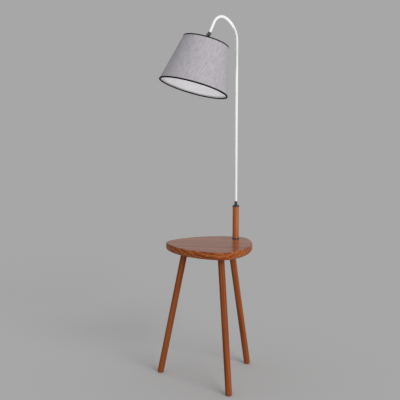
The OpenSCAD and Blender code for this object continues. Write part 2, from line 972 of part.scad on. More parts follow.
// Each lead drops from the stem, runs out over the core and ends on its screw
module holder_leads() {
  lead_top = cap_drop + holder_cap_wall;
  lead_low = core_s - screw_head_h - loose_gap - lead_r;
  color("#d8d8d6")
    in_head()
      for (side = [-1, 1]) {
        translate([side * lead_x, 0, lead_top])
          cylinder(r = lead_r, h = lead_low - lead_top, $fn = fine);
        translate([side * lead_x, 0, lead_low]) {
          sphere(r = lead_r, $fn = fine);
          rotate([0, side * 90, 0])
            cylinder(r = lead_r, h = screw_x - lead_x, $fn = fine);
        }
      }
}

module holder_ring() {
  color("#1c1c1e")
    in_head()
      translate([0, 0, carrier_end])
        tube(clamp_ring_d / 2, clamp_bore_r, clamp_ring_h);
}

module carrier_plate() {
  color("#f2f2f0")
    in_head()
      translate([0, 0, carrier_s])
        tube(carrier_d / 2, clamp_bore_r, carrier_t);
}

module shade_top_ring() {
  color("#f2f2f0") in_head() rotate_extrude() on_fabric() wire_section();
}

module shade_bottom_ring() {
  color("#f2f2f0") in_head() rotate_extrude() on_fabric_below() wire_section();
}

// Each spoke ends under the middle of the upper wire, clear of the tape's hem
module carrier_spokes() {
  start_r = carrier_d / 2 + loose_gap;
  start_s = carrier_s + carrier_t / 2;
  run = wire_ring_r - start_r;
  rise = start_s - wire_ring_s - wire_r;
  reach = sqrt(run * run + rise * rise) - wire_r - fixed_gap;
  color("#f2f2f0")
    in_head()
      for (k = [0 : spoke_count - 1])
        rotate([0, 0, spoke_turn + k * 360 / spoke_count])
          translate([start_r, 0, start_s])
            rotate([0, 90 + atan(rise / run), 0])
              cylinder(r = wire_r, h = reach, $fn = fine);
}

module shade_fabric() {
  color("#a8a4aa") in_head() shade_skin(0, fabric_t);
}

module shade_liner() {
  color("#e4e2e4") in_head() shade_skin(fabric_t + fixed_gap, liner_t);
}

// The upper hem is short, so that the spokes clear it
module shade_top_tape() {
  color("#1c1c1e")
    in_head() rotate_extrude($fn = 2 * $fn) on_fabric() tape_section(tape_t + wire_r / 2);
}

module shade_bottom_tape() {
  color("#1c1c1e")
    in_head() rotate_extrude($fn = 2 * $fn) on_fabric_below() tape_section(tape_w);
}

// ---- Bulb ----

module bulb_tip() {
  color("#8f9194")
    in_head()
      translate([0, 0, bulb_s])
        cylinder(r1 = bulb_tip_r / 2, r2 = bulb_tip_r, h = bulb_tip_h);
}

module bulb_base() {
  color("#c9c6bd")
    in_head()
      translate([0, 0, base_s]) {
        cylinder(r1 = bulb_tip_r + 1, r2 = bulb_base_r, h = bulb_insulator_h);
        translate([0, 0, bulb_insulator_h]) cylinder(r = bulb_base_r, h = bulb_base_l);
      }
}

// Half section of the globe and its neck: a ball and a cone that meets it smoothly
module globe_section(ball_r, neck_r, start) {
  reach = globe_s - start;
  lean = asin((ball_r - neck_r) / reach);
  meet = [ball_r * cos(lean), globe_s - ball_r * sin(lean)];
  intersection() {
    translate([0, globe_s]) circle(r = ball_r);
    translate([0, start]) square([ball_r, bulb_l]);
  }
  polygon([[0, start], [neck_r, start], meet, [0, meet[1]]]);
}

module bulb_globe() {
  color("#f4f1ea")
    in_head()
      rotate_extrude()
        difference() {
          globe_section(globe_r, glass_neck_r, base_end);
          globe_section(globe_r - glass_t, glass_neck_r - glass_t, base_end + glass_t);
        }
}

table_top();
leg_front();
leg_left();
leg_back();
leg_bolts();
leg_inserts();
post();
post_base_ring();
post_cap();
tie_rod();
tie_washer();
tie_nut();
cord_bushing();
cable_lower();
swivel_washer();
pole_coupling();
grub_screw();
pole_tube();
cable_upper();
knuckle_fork();
knuckle_bolt();
friction_washers();
wing_nut();
knuckle_tongue();
holder_cap();
holder_cap_nut();
holder_body();
holder_core();
holder_shell();
holder_contact();
terminal_screws();
holder_leads();
holder_ring();
carrier_plate();
carrier_spokes();
shade_top_ring();
shade_bottom_ring();
shade_fabric();
shade_liner();
shade_top_tape();
shade_bottom_tape();
bulb_base();
bulb_tip();
bulb_globe();
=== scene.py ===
"""Looks of a floor lamp that grows out of a small three-legged table.

Lengths are in metres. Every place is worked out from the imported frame, so a piece
lies where the solid that it stands for lies.
"""

import json
import logging
import math
from collections.abc import Callable, Iterator, Sequence
from contextlib import contextmanager
from dataclasses import dataclass, replace
from enum import Enum
from functools import cache
from typing import ClassVar

import bmesh
import bpy
from mathutils import Matrix, Vector


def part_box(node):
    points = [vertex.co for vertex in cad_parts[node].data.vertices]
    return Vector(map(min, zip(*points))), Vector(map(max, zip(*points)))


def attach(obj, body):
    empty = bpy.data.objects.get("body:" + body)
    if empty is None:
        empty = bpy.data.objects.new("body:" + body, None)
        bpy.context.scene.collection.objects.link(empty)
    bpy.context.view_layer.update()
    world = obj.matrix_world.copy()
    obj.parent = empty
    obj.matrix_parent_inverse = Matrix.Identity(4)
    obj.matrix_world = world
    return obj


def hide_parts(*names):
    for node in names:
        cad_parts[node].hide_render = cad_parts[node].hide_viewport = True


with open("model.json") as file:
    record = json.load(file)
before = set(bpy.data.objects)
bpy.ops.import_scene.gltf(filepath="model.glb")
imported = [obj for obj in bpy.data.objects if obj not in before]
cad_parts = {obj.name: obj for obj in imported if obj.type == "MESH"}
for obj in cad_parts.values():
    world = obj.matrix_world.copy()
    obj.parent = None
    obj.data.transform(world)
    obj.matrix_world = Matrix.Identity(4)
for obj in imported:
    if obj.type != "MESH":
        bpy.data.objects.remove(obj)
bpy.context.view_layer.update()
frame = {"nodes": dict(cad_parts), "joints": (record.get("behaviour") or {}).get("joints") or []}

MM = 0.001
MERGE_GAP = MM / 1000  # Vertices nearer to each other than this are one.
FIT = 0.1 * MM  # Play between pieces that fit into each other.
SOFT = 0.3 * MM  # Rounding of a small edge.
FULL_TURN = 2 * math.pi
THIRD = FULL_TURN / 3
RIGHT_ANGLE = math.pi / 2
UP = Vector((0, 0, 1))
BENCH = Matrix.Identity(4)  # Leaves a piece where it was modelled.
UPRIGHT = Matrix.Rotation(RIGHT_ANGLE, 4, "X")  # Stands a plate up, with its thickness along Y.
SMOOTH_ANGLE = math.radians(32)
NOISE_RANGE = (0.3, 0.7)  # Where smooth noise mostly lies.
WAVE_RATE = 20  # Phase of the wave texture over one unit.

log = logging.getLogger("lamp")

Corner = tuple[float, float, float]
Point2 = tuple[float, float]
Colour = tuple[float, float, float, float]
Socket = bpy.types.NodeSocket


# ---- Geometry helpers ----


def rounded(corners: Sequence[Corner], closed: bool, steps: int = 4) -> list[Point2]:
    """Rounds the corners of an outline.

    Args:
        corners: Each corner's two coordinates and the radius that rounds it.
        closed: Whether the last corner runs back to the first.
        steps: How many edges each rounded corner gets.

    Returns:
        The outline's points, in order.
    """
    points: list[Point2] = []
    last = len(corners) - 1
    for index, (x, y, radius) in enumerate(corners):
        here = Vector((x, y))
        if radius == 0 or (not closed and index in (0, last)):
            points.append((x, y))
            continue
        back = (Vector(corners[index - 1][:2]) - here).normalized()
        ahead = (Vector(corners[(index + 1) % len(corners)][:2]) - here).normalized()
        half = math.acos(max(-1.0, min(1.0, back.dot(ahead)))) / 2
        centre = here + (back + ahead).normalized() * radius / math.sin(half)
        start = here + back * radius / math.tan(half) - centre
        turn = math.copysign(math.pi - 2 * half, start.x * ahead.y - start.y * ahead.x)
        facing = math.atan2(start.y, start.x)
        points += arc((centre.x, centre.y), radius, facing, facing + turn, steps)
    return points


def arc(centre: Point2, radius: float, start: float, end: float, steps: int) -> list[Point2]:
    """Gives points along an arc, both ends included.

    Args:
        centre: The arc's centre.
        radius: The arc's radius.
        start: Angle of the first point, in radians.
        end: Angle of the last point, in radians.
        steps: How many edges the arc gets.

    Returns:
        The arc's points, in order.
    """
    angles = [start + (end - start) * step / steps for step in range(steps + 1)]
    return [(centre[0] + radius * math.cos(a), centre[1] + radius * math.sin(a)) for a in angles]


def lifted(corners: Sequence[Corner], by: float) -> list[Corner]:
    """Moves an outline up."""
    return [(radius, height + by, soft) for radius, height, soft in corners]


def collar(
    bore_r: float, outer_r: float, low: float, high: float, soft_low: float = SOFT, soft_high: float = SOFT,
    bore_soft: float = 0,
) -> list[Corner]:
    """Gives the outline of a plain ring, or of a plain rod where the bore's radius is 0."""
    outside = [(outer_r, low, soft_low), (outer_r, high, soft_high)]
    return [(bore_r, low, bore_soft), *outside, (bore_r, high, bore_soft)]


def tall(node: str) -> float:
    """Gives the height of a solid's box."""
    low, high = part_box(node)
    return high.z - low.z


def middle(node: str) -> Vector:
    """Gives the middle of a solid's box."""
    low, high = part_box(node)
    return (low + high) / 2


def length_along(node: str, place: Matrix) -> float:
    """Measures how long a solid is along the Z axis of a place.

    Args:
        node: The solid.
        place: The place.

    Returns:
        Its length.
    """
    back = place.inverted()
    heights = [(back @ vertex.co).z for vertex in frame["nodes"][node].data.vertices]
    return max(heights) - min(heights)


def place_of(origin: Vector, x: Vector, y: Vector, z: Vector) -> Matrix:
    """Builds the place that has this origin and these three axes."""
    return Matrix.Translation(origin) @ Matrix((x, y, z)).transposed().to_4x4()


def place_at(origin: Sequence[float], turn: float, axis: str) -> Matrix:
    """Builds the place that has this origin and is turned about one axis."""
    return Matrix.Translation(origin) @ Matrix.Rotation(turn, 4, axis)


def deselect() -> None:
    """Leaves edit mode and deselects every object."""
    if bpy.context.object and bpy.context.object.mode != "OBJECT":
        bpy.ops.object.mode_set(mode="OBJECT")
    bpy.ops.object.select_all(action="DESELECT")


# ---- Pieces ----


class Element(Enum):
    """What a selection in edit mode is made of."""

    FACE = "faces"
    EDGE = "edges"


class Piece:
    """A mesh piece on the bench, modelled about its own Z axis and then put in place."""

    def __init__(self, name: str) -> None:
        """Takes the object that an operator has just added, and names it and its mesh."""
        self.obj = bpy.context.object
        self.obj.name = self.obj.data.name = name

    @classmethod
    def drawn(cls, name: str, points: Sequence[Vector]) -> "Piece":
        """Draws a chain of edges by extruding one vertex from point to point.

        Args:
            name: The piece's name.
            points: The chain's points.

        Returns:
            The piece, as a wire.
        """
        deselect()
        bpy.ops.mesh.primitive_plane_add(size=MM)
        piece = cls(name)
        with piece.editing(whole=True):
            bpy.ops.mesh.merge(type="CENTER")
            bpy.ops.transform.translate(value=points[0])
            for start, end in zip(points, points[1:]):
                bpy.ops.mesh.extrude_vertices_move(TRANSFORM_OT_translate={"value": end - start})
        return piece

    @classmethod
    def turned(cls, name: str, corners: Sequence[Corner], segments: int = 96, steps: int = 4) -> "Piece":
        """Spins an outline round the Z axis, as on a lathe.

        Args:
            name: The piece's name.
            corners: Radius, height and rounding of each corner of an outline, which runs
                back to its start unless it starts and ends on the axis.
            segments: How many steps the spin takes.
            steps: How many edges each rounded corner gets.

        Returns:
            The piece, as a closed skin.
        """
        closed = corners[0][0] > 0
        chain = rounded(corners, closed, steps)
        if closed:
            chain.append(chain[0])
        piece = cls.drawn(name, [Vector((radius, 0, height)) for radius, height in chain])
        with piece.editing(whole=True):
            bpy.ops.mesh.spin(steps=segments, angle=FULL_TURN, center=(0, 0, 0), axis=UP)
            piece.close_up()
        return piece

    @classmethod
    def filled(cls, name: str, points: Sequence[Vector]) -> "Piece":
        """Draws a closed chain and fills it.

        Args:
            name: The piece's name.
            points: The outline's points, each of them once.

        Returns:
            The piece, as a single face.
        """
        piece = cls.drawn(name, [*points, points[0]])
        with piece.editing(whole=True):
            bpy.ops.mesh.remove_doubles(threshold=MERGE_GAP)
            bpy.ops.mesh.edge_face_add()
        return piece

    @classmethod
    def slab(cls, name: str, outline: Sequence[Point2], bottom: float, top: float) -> "Piece":
        """Extrudes a filled outline from one height to another.

        Args:
            name: The piece's name.
            outline: Points in the X-Y plane.
            bottom: Height of the lower face.
            top: Height of the upper face.

        Returns:
            The piece, as a closed skin.
        """
        piece = cls.filled(name, [Vector((x, y, bottom)) for x, y in outline])
        with piece.editing(whole=True):
            bpy.ops.mesh.extrude_region_move(TRANSFORM_OT_translate={"value": (0, 0, top - bottom)})
            piece.close_up()
        return piece

    @contextmanager
    def editing(self, whole: bool = False) -> Iterator[None]:
        """Opens the piece in edit mode.

        Args:
            whole: Whether all of it is selected, or nothing.

        Yields:
            Nothing, while edit mode is on.
        """
        self.activate()
        bpy.ops.object.mode_set(mode="EDIT")
        bpy.ops.mesh.select_mode(type="VERT")
        bpy.ops.mesh.select_all(action="SELECT" if whole else "DESELECT")
        yield
        bpy.ops.object.mode_set(mode="OBJECT")

    def activate(self) -> None:
        """Makes the piece the only selected object, and the active one."""
        deselect()
        self.obj.select_set(True)
        bpy.context.view_layer.objects.active = self.obj

    def close_up(self) -> None:
        """Merges doubled vertices and turns the faces outwards, in edit mode."""
        bpy.ops.mesh.select_all(action="SELECT")
        bpy.ops.mesh.remove_doubles(threshold=MERGE_GAP)
        bpy.ops.mesh.normals_make_consistent(inside=False)

    def pick(self, element: Element, test: Callable[[Vector, Vector], bool]) -> None:
        """Selects the faces or the edges that pass a test, in edit mode.

        Args:
            element: Whether faces or edges are picked.
            test: Takes a face's middle and normal, or an edge's two ends.
        """
        bpy.ops.mesh.select_mode(type=element.name)
        bpy.ops.mesh.select_all(action="DESELECT")
        mesh = bmesh.from_edit_mesh(self.obj.data)
        for item in getattr(mesh, element.value):
            if element is Element.FACE:
                item.select_set(test(item.calc_center_median(), item.normal))
            else:
                item.select_set(test(item.verts[0].co, item.verts[1].co))
        mesh.select_flush_mode()
        bmesh.update_edit_mesh(self.obj.data)

    def trim(self, along: Vector, low: float, high: float) -> "Piece":
        """Cuts both ends off square and fills the cuts.

        Args:
            along: The axis that the cuts stand across, of unit length.
            low: Where the lower cut lies on it.
            high: Where the upper cut lies.

        Returns:
            The piece.
        """
        with self.editing():
            for at, facing in ((high, 1), (low, -1)):
                bpy.ops.mesh.select_all(action="SELECT")
                bpy.ops.mesh.bisect(
                    plane_co=along * at, plane_no=along * facing, threshold=MERGE_GAP, use_fill=True,
                    clear_outer=True,
                )
        return self

    def modify(self, kind: str, **settings: object) -> "Piece":
        """Adds a modifier and applies it.

        Args:
            kind: The modifier's type.
            **settings: Its properties, by name.

        Returns:
            The piece.
        """
        self.activate()
        modifier = self.obj.modifiers.new(kind.lower(), kind)
        for name, value in settings.items():
            setattr(modifier, name, value)
        bpy.ops.object.modifier_apply(modifier=modifier.name)
        return self

    def combine(self, tool: "Piece", operation: str = "DIFFERENCE") -> "Piece":
        """Cuts away, keeps or adds what another piece fills, and removes that piece.

        Args:
            tool: The other piece.
            operation: DIFFERENCE, INTERSECT or UNION.

        Returns:
            The piece.
        """
        self.modify("BOOLEAN", object=tool.obj, operation=operation, solver="EXACT")
        bpy.data.objects.remove(tool.obj)
        return self

    def soften(self, width: float, segments: int = 2) -> "Piece":
        """Bevels every sharp edge."""
        sharp = math.radians(50)
        return self.modify("BEVEL", width=width, segments=segments, limit_method="ANGLE", angle_limit=sharp)

    def put(self, place: Matrix) -> "Piece":
        """Moves the piece to a place and applies that to its mesh.

        Args:
            place: The place.

        Returns:
            The piece.
        """
        self.obj.matrix_world = place @ self.obj.matrix_world
        self.activate()
        bpy.ops.object.transform_apply(location=True, rotation=True, scale=True)
        return self

    def copy(self) -> "Piece":
        """Copies the piece, with a mesh of its own.

        Returns:
            The copy.
        """
        self.activate()
        bpy.ops.object.duplicate()
        return Piece(self.obj.name)

    def join(self, other: "Piece") -> None:
        """Takes another piece's mesh in, as a separate solid.

        Args:
            other: The other piece.
        """
        self.activate()
        other.obj.select_set(True)
        bpy.ops.object.join()

    def done(self, body: str, slot: str, *nodes: str, finish: "Finish | None" = None) -> bpy.types.Object:
        """Shades the piece smooth, dresses it and lets it stand for its solids.

        Args:
            body: The body that the piece moves with.
            slot: The material slot whose finish it takes.
            *nodes: The solids that it stands for.
            finish: A finish of its own, in place of the slot's.

        Returns:
            The finished object.
        """
        self.activate()
        bpy.ops.object.shade_smooth_by_angle(angle=SMOOTH_ANGLE)
        self.obj.data.materials.clear()
        self.obj.data.materials.append((finish or FINISHES[slot]).material())
        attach(self.obj, body)
        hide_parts(*nodes)
        log.info("%s rides on %s in %s", self.obj.name, body, slot)
        return self.obj


def peg(radius: float, bottom: float, top: float, place: Matrix = BENCH, sides: int = 48) -> Piece:
    """Makes a plain round or sided peg, to cut a hole or a socket with.

    Args:
        radius: The peg's radius.
        bottom: Height of its lower end.
        top: Height of its upper end.
        place: Where it goes.
        sides: How many sides it has.

    Returns:
        The peg.
    """
    deselect()
    bpy.ops.mesh.primitive_cylinder_add(
        vertices=sides, radius=radius, depth=top - bottom, location=(0, 0, (top + bottom) / 2)
    )
    return Piece("peg").put(place)


def threaded(name: str, core_r: float, crest_r: float, pitch: float, bottom: float, top: float) -> Piece:
    """Makes a solid round bar with a rounded thread.

    Args:
        name: The piece's name.
        core_r: Radius at the thread's root.
        crest_r: Radius at the thread's crest.
        pitch: Distance from crest to crest.
        bottom: Height of the bar's lower end.
        top: Height of its upper end.

    Returns:
        The bar, closed at both ends.
    """
    start = bottom - 1.5 * pitch
    swell = (crest_r - core_r) / 2
    sides = 8
    chain = [
        Vector((core_r + swell * (1 - math.cos(FULL_TURN * step / sides)), 0, start + pitch * step / sides))
        for step in range(sides + 1)
    ]
    bar = Piece.drawn(name, chain).modify(
        "SCREW", screw_offset=pitch, iterations=math.ceil((top - bottom) / pitch) + 2, steps=64,
        render_steps=64, use_merge_vertices=True, merge_threshold=MERGE_GAP, use_smooth_shade=False,
    )
    with bar.trim(UP, bottom, top).editing():
        bar.close_up()
    return bar


# ---- Finishes ----


def linear(code: str) -> Colour:
    """Turns a hex colour, as it looks on a screen, into the renderer's linear one."""
    shares = [int(code[i : i + 2], 16) / 255 for i in (1, 3, 5)]
    return (*(c / 12.92 if c <= 0.04045 else ((c + 0.055) / 1.055) ** 2.4 for c in shares), 1.0)


def dimmed(colour: Colour, share: float) -> Colour:
    """Darkens a colour to a share of its light."""
    return (*(part * share for part in colour[:3]), 1.0)


class Tree:
    """Builds a node tree, node by node."""

    def __init__(self, tree: bpy.types.NodeTree) -> None:
        """Starts with the tree empty."""
        self.tree = tree
        self.tree.nodes.clear()

    def add(self, kind: str, settings: dict[str, object] | None = None, **inputs: object) -> bpy.types.Node:
        """Adds a node.

        Args:
            kind: The node's type, without its usual prefix.
            settings: Properties of the node itself.
            **inputs: Values or outputs for its inputs, by name, with _ for a space.

        Returns:
            The node.
        """
        node = self.tree.nodes.new("ShaderNode" + kind)
        for name, value in (settings or {}).items():
            setattr(node, name, value)
        for name, value in inputs.items():
            self.feed(node.inputs[name.replace("_", " ")], value)
        return node

    def feed(self, socket: Socket, value: object) -> None:
        """Sets a socket to a value, or links an output to it.

        Args:
            socket: The input socket.
            value: The value or the output.
        """
        if isinstance(value, Socket):
            self.tree.links.new(value, socket)
        else:
            socket.default_value = value

    def math(self, operation: str, *values: object, kind: str = "Math") -> Socket:
        """Works out one operation.

        Args:
            operation: The operation's name.
            *values: Its one to three values or outputs.
            kind: Math for numbers, VectorMath for vectors.

        Returns:
            The output that holds the result.
        """
        node = self.add(kind, {"operation": operation})
        for socket, value in zip(node.inputs, values):
            self.feed(socket, value)
        return node.outputs[0]

    def mix(self, share: object, first: object, second: object) -> Socket:
        """Mixes two colours.

        Args:
            share: The second colour's share.
            first: The first colour.
            second: The second colour.

        Returns:
            The output that holds the mixture.
        """
        node = self.add("Mix", {"data_type": "RGBA"})
        for index, value in ((0, share), (6, first), (7, second)):
            self.feed(node.inputs[index], value)
        return node.outputs[2]


class Space(Enum):
    """Which coordinates a pattern follows."""

    OBJECT = "Object"
    FLAT_CUT = "UV"


class Graph(Tree):
    """Builds the nodes of one material round a single surface shader."""

    def __init__(self, name: str, space: Space = Space.OBJECT) -> None:
        """Starts a material with a shader, an output and a source of coordinates.

        Args:
            name: The material's name, but for its ending.
            space: Which coordinates its patterns follow.
        """
        # The frame already holds a plain material with each slot's own name.
        self.material = bpy.data.materials.new(f"{name}_finish")
        self.material.use_nodes = True
        super().__init__(self.material.node_tree)
        self.shader = self.add("BsdfPrincipled")
        self.add("OutputMaterial", Surface=self.shader.outputs[0])
        self.place = self.add("TexCoord").outputs[space.value]

    def stretched(self, scale: Sequence[float], turn: Sequence[float] = (0, 0, 0)) -> Socket:
        """Gives the coordinates turned and then scaled along each axis."""
        turned = self.add("Mapping", {"vector_type": "TEXTURE"}, Vector=self.place, Rotation=turn)
        return self.add("Mapping", Vector=turned.outputs[0], Scale=scale).outputs[0]

    def noise_at(self, scale: Sequence[float], detail: float) -> Socket:
        """Gives smooth noise at the coordinates scaled along each axis."""
        return self.noise(self.stretched(scale), detail)

    def noise(self, place: Socket, detail: float, rough: float = 0.55) -> Socket:
        """Gives smooth noise from 0 to 1 at these coordinates."""
        node = self.add("TexNoise", Vector=place, Scale=1.0, Detail=detail, Roughness=rough)
        return node.outputs["Fac"]

    def spread(self, value: Socket, low: float, high: float, to_low: float = 0, to_high: float = 1) -> Socket:
        """Maps a range of a value to another range, and holds it inside."""
        node = self.add("MapRange", Value=value, From_Min=low, From_Max=high, To_Min=to_low, To_Max=to_high)
        return node.outputs[0]

    def bump(self, height: Socket, depth: float, strength: float = 1.0) -> None:
        """Raises the surface by a height, of this depth in metres."""
        node = self.add("Bump", Height=height, Distance=depth, Strength=strength)
        self.feed(self.shader.inputs["Normal"], node.outputs[0])

    def surface(self, **inputs: object) -> None:
        """Sets the shader's own inputs, by name, with _ for a space."""
        for name, value in inputs.items():
            self.feed(self.shader.inputs[name.replace("_", " ")], value)


@dataclass(frozen=True)
class Finish:
    """What every finish has: a name, a colour as it looks, and a roughness."""

    space: ClassVar[Space] = Space.OBJECT

    name: str
    colour: str
    roughness: float

    @cache
    def material(self) -> bpy.types.Material:
        """Gives the finish's own material, made at its first use, and not the solid's plain one.

        Returns:
            The material.
        """
        graph = Graph(self.name, self.space)
        self.draw(graph)
        return graph.material

    def draw(self, graph: Graph) -> None:
        """Draws the finish in its material."""
        raise NotImplementedError


@dataclass(frozen=True)
class Wood(Finish):
    """Lacquered solid wood with growth rings, fibres and open pores."""

    dark: str = "#6a3418"
    pale: str = "#b4714a"
    grain_turn: tuple[float, float, float] = (0.0, 0.0, 0.0)
    ring_gap: float = 9 * MM
    ring_tilt: float = 0.0
    ring_stretch: float = 0.09
    ring_wobble: float = 5.5
    board_w: float = 0.0
    cloud_scale: Point2 = (1.6, 14)
    streak_scale: Point2 = (5, 190)
    fibre_scale: Point2 = (40, 1500)
    pore_scale: Point2 = (110, 2600)
    ring_share: float = 0.20
    streak_share: float = 0.55
    cloud_share: float = 0.42
    board_share: float = 0.16
    pore_share: float = 0.45
    pore_depth: float = 0.07 * MM
    coat: float = 0.0
    shine: float = 0.1

    def draw(self, graph: Graph) -> None:
        """Draws the wood, with its grain along the turned X axis and its coat on faces that look up.

        Args:
            graph: The material's nodes.
        """
        along = graph.stretched((1, 1, 1), self.grain_turn)
        tone = 0.5
        if self.board_w:
            across = graph.add("SeparateXYZ", Vector=along).outputs[1]
            board = graph.math("FLOOR", graph.math("DIVIDE", across, self.board_w))
            luck = graph.add("TexWhiteNoise", {"noise_dimensions": "1D"}, W=board)
            along = graph.math("ADD", along, luck.outputs["Color"], kind="VectorMath")
            tone = luck.outputs["Value"]
        along = graph.add("Mapping", Vector=along, Rotation=(self.ring_tilt, 0, 0)).outputs[0]

        def stretch(lengthways: float, crossways: float) -> Socket:
            """Scales the grain's coordinates along it and across it."""
            return graph.add("Mapping", Vector=along, Scale=(lengthways, crossways, crossways)).outputs[0]

        wave = graph.add(
            "TexWave", {"wave_profile": "SAW", "bands_direction": "Y"}, Vector=stretch(self.ring_stretch, 1),
            Scale=FULL_TURN / WAVE_RATE / self.ring_gap, Distortion=self.ring_wobble, Detail=2.5,
            Detail_Scale=0.35, Detail_Roughness=0.5,
        )
        rings = graph.math("POWER", wave.outputs["Fac"], 1.6)
        clouds = graph.noise(stretch(*self.cloud_scale), detail=2)
        streaks = graph.noise(stretch(*self.streak_scale), detail=4, rough=0.6)
        fibres = graph.noise(stretch(*self.fibre_scale), detail=2)
        pores = graph.spread(graph.noise(stretch(*self.pore_scale), detail=1), 0.60, 0.72)
        streaked = graph.spread(streaks, 0.28, 0.72, 0.0, self.streak_share)
        grain = graph.math(
            "ADD",
            graph.math("MULTIPLY_ADD", rings, -self.ring_share, streaked),
            graph.math(
                "MULTIPLY_ADD", clouds, self.cloud_share,
                graph.math("MULTIPLY_ADD", tone, self.board_share, 0.02),
            ),
        )
        ramp = graph.add("ValToRGB", Fac=graph.spread(grain, 0.12, 0.88))
        ramp.color_ramp.elements[0].color = linear(self.dark)
        ramp.color_ramp.elements[1].color = linear(self.pale)
        ramp.color_ramp.elements.new(0.5).color = linear(self.colour)
        pored = graph.mix(graph.math("MULTIPLY", pores, self.pore_share), ramp.outputs[0], linear(self.dark))
        facing = graph.add("SeparateXYZ", Vector=graph.add("TexCoord").outputs["Normal"]).outputs[2]
        graph.surface(
            Base_Color=pored, Specular_IOR_Level=self.shine, Coat_Roughness=0.22,
            Coat_Weight=graph.spread(facing, 0.7, 0.98, 0.0, self.coat),
            Roughness=graph.spread(fibres, *NOISE_RANGE, self.roughness - 0.05, self.roughness + 0.09),
        )
        graph.bump(graph.math("SUBTRACT", graph.math("MULTIPLY", fibres, 0.5), pores), self.pore_depth)


@dataclass(frozen=True)
class Metal(Finish):
    """Bare or plated metal, with fine scratches and a cloudy polish."""

    scratch: float = 0.08
    scratch_scale: float = 900
    scratch_depth: float = 0.01 * MM
    cloud_scale: float = 60
    cloud_light: float = 0.8

    def draw(self, graph: Graph) -> None:
        """Draws the metal.

        Args:
            graph: The material's nodes.
        """
        clouds = graph.noise_at((self.cloud_scale,) * 3, 3)
        lines = graph.noise_at((self.scratch_scale,) * 3, 2)
        worn = graph.math("MULTIPLY_ADD", lines, self.scratch, graph.math("MULTIPLY", clouds, self.scratch))
        base = linear(self.colour)
        graph.surface(
            Base_Color=graph.mix(clouds, dimmed(base, self.cloud_light), base), Metallic=1.0,
            Roughness=graph.math("ADD", worn, max(0.02, self.roughness - self.scratch)),
        )
        graph.bump(lines, self.scratch_depth, 0.6)


@dataclass(frozen=True)
class Coating(Finish):
    """Lacquer, powder or moulded plastic: a smooth coloured skin with a fine texture."""

    peel: float = 0.02 * MM
    peel_scale: float = 450
    cloud_scale: float = 22
    gloss_coat: float = 0.0
    mottle: float = 0.06

    def draw(self, graph: Graph) -> None:
        """Draws the coating.

        Args:
            graph: The material's nodes.
        """
        peel = graph.noise_at((self.peel_scale,) * 3, 2)
        clouds = graph.noise_at((self.cloud_scale,) * 3, 3)
        base = linear(self.colour)
        graph.surface(
            Base_Color=graph.mix(clouds, dimmed(base, 1 - self.mottle), base), IOR=1.5,
            Coat_Weight=self.gloss_coat, Coat_Roughness=0.08,
            Roughness=graph.spread(clouds, *NOISE_RANGE, self.roughness - 0.03, self.roughness + 0.05),
        )
        graph.bump(peel, self.peel)


@dataclass(frozen=True)
class Weave(Finish):
    """Plain-woven cloth with uneven threads, drawn on its flat cut."""

    space: ClassVar[Space] = Space.FLAT_CUT

    deep: str = "#3c3a3e"
    pitch: float = 0.9 * MM
    wobble_scale: float = 90
    wobble: float = 1.2
    slub_scale: float = 28
    cloud_scale: Point2 = (120, 34)
    slub_share: float = 0.5
    thread_share: float = 0.22
    cloud_share: float = 0.24
    relief: float = 0.18 * MM
    sheen: float = 0.25

    def draw(self, graph: Graph) -> None:
        """Draws the cloth.

        Args:
            graph: The material's nodes.
        """
        axes = graph.add("SeparateXYZ", Vector=graph.stretched((1, 1, 1)))
        waver = graph.noise_at((self.wobble_scale, self.wobble_scale, 1), 2)
        bent = graph.math("MULTIPLY", waver, self.wobble)
        rate = FULL_TURN / (2 * self.pitch)
        warp, weft = (
            graph.math("SINE", graph.math("MULTIPLY_ADD", out, rate, bent)) for out in axes.outputs[:2]
        )
        threads = graph.math("MULTIPLY_ADD", graph.math("MULTIPLY", warp, weft), 0.5, 0.5)
        lengthways = graph.noise_at((1 / self.pitch, self.slub_scale, 1), 2)
        crossways = graph.noise_at((self.slub_scale, 1 / self.pitch, 1), 2)
        clouds = graph.noise_at((*self.cloud_scale, 1), 3)
        slubs = graph.math("MULTIPLY", graph.math("ADD", lengthways, crossways), 0.5)
        clouded = graph.spread(clouds, *NOISE_RANGE, 0.0, self.cloud_share)
        shade = graph.math(
            "MULTIPLY_ADD", graph.spread(slubs, 0.36, 0.64), self.slub_share,
            graph.math("MULTIPLY_ADD", threads, self.thread_share, clouded),
        )
        graph.surface(
            Base_Color=graph.mix(graph.spread(shade, 0.12, 0.82), linear(self.deep), linear(self.colour)),
            Roughness=self.roughness, Sheen_Weight=self.sheen, Sheen_Roughness=0.5, Specular_IOR_Level=0.2,
        )
        graph.bump(graph.math("MULTIPLY_ADD", slubs, 0.8, threads), self.relief)


@dataclass(frozen=True)
class Milky(Finish):
    """Opal glass that glows a little from inside its white layer."""

    veil_scale: float = 30

    def draw(self, graph: Graph) -> None:
        """Draws the glass.

        Args:
            graph: The material's nodes.
        """
        veil = graph.noise_at((self.veil_scale,) * 3, 3)
        base = linear(self.colour)
        thin = (base[0] * 0.95, base[1] * 0.95, base[2] * 0.93, 1.0)
        graph.surface(
            Base_Color=graph.mix(veil, thin, base), IOR=1.5, Subsurface_Weight=0.15, Coat_Weight=0.4,
            Coat_Roughness=0.05,
            Roughness=graph.spread(veil, *NOISE_RANGE, self.roughness, self.roughness + 0.06),
        )


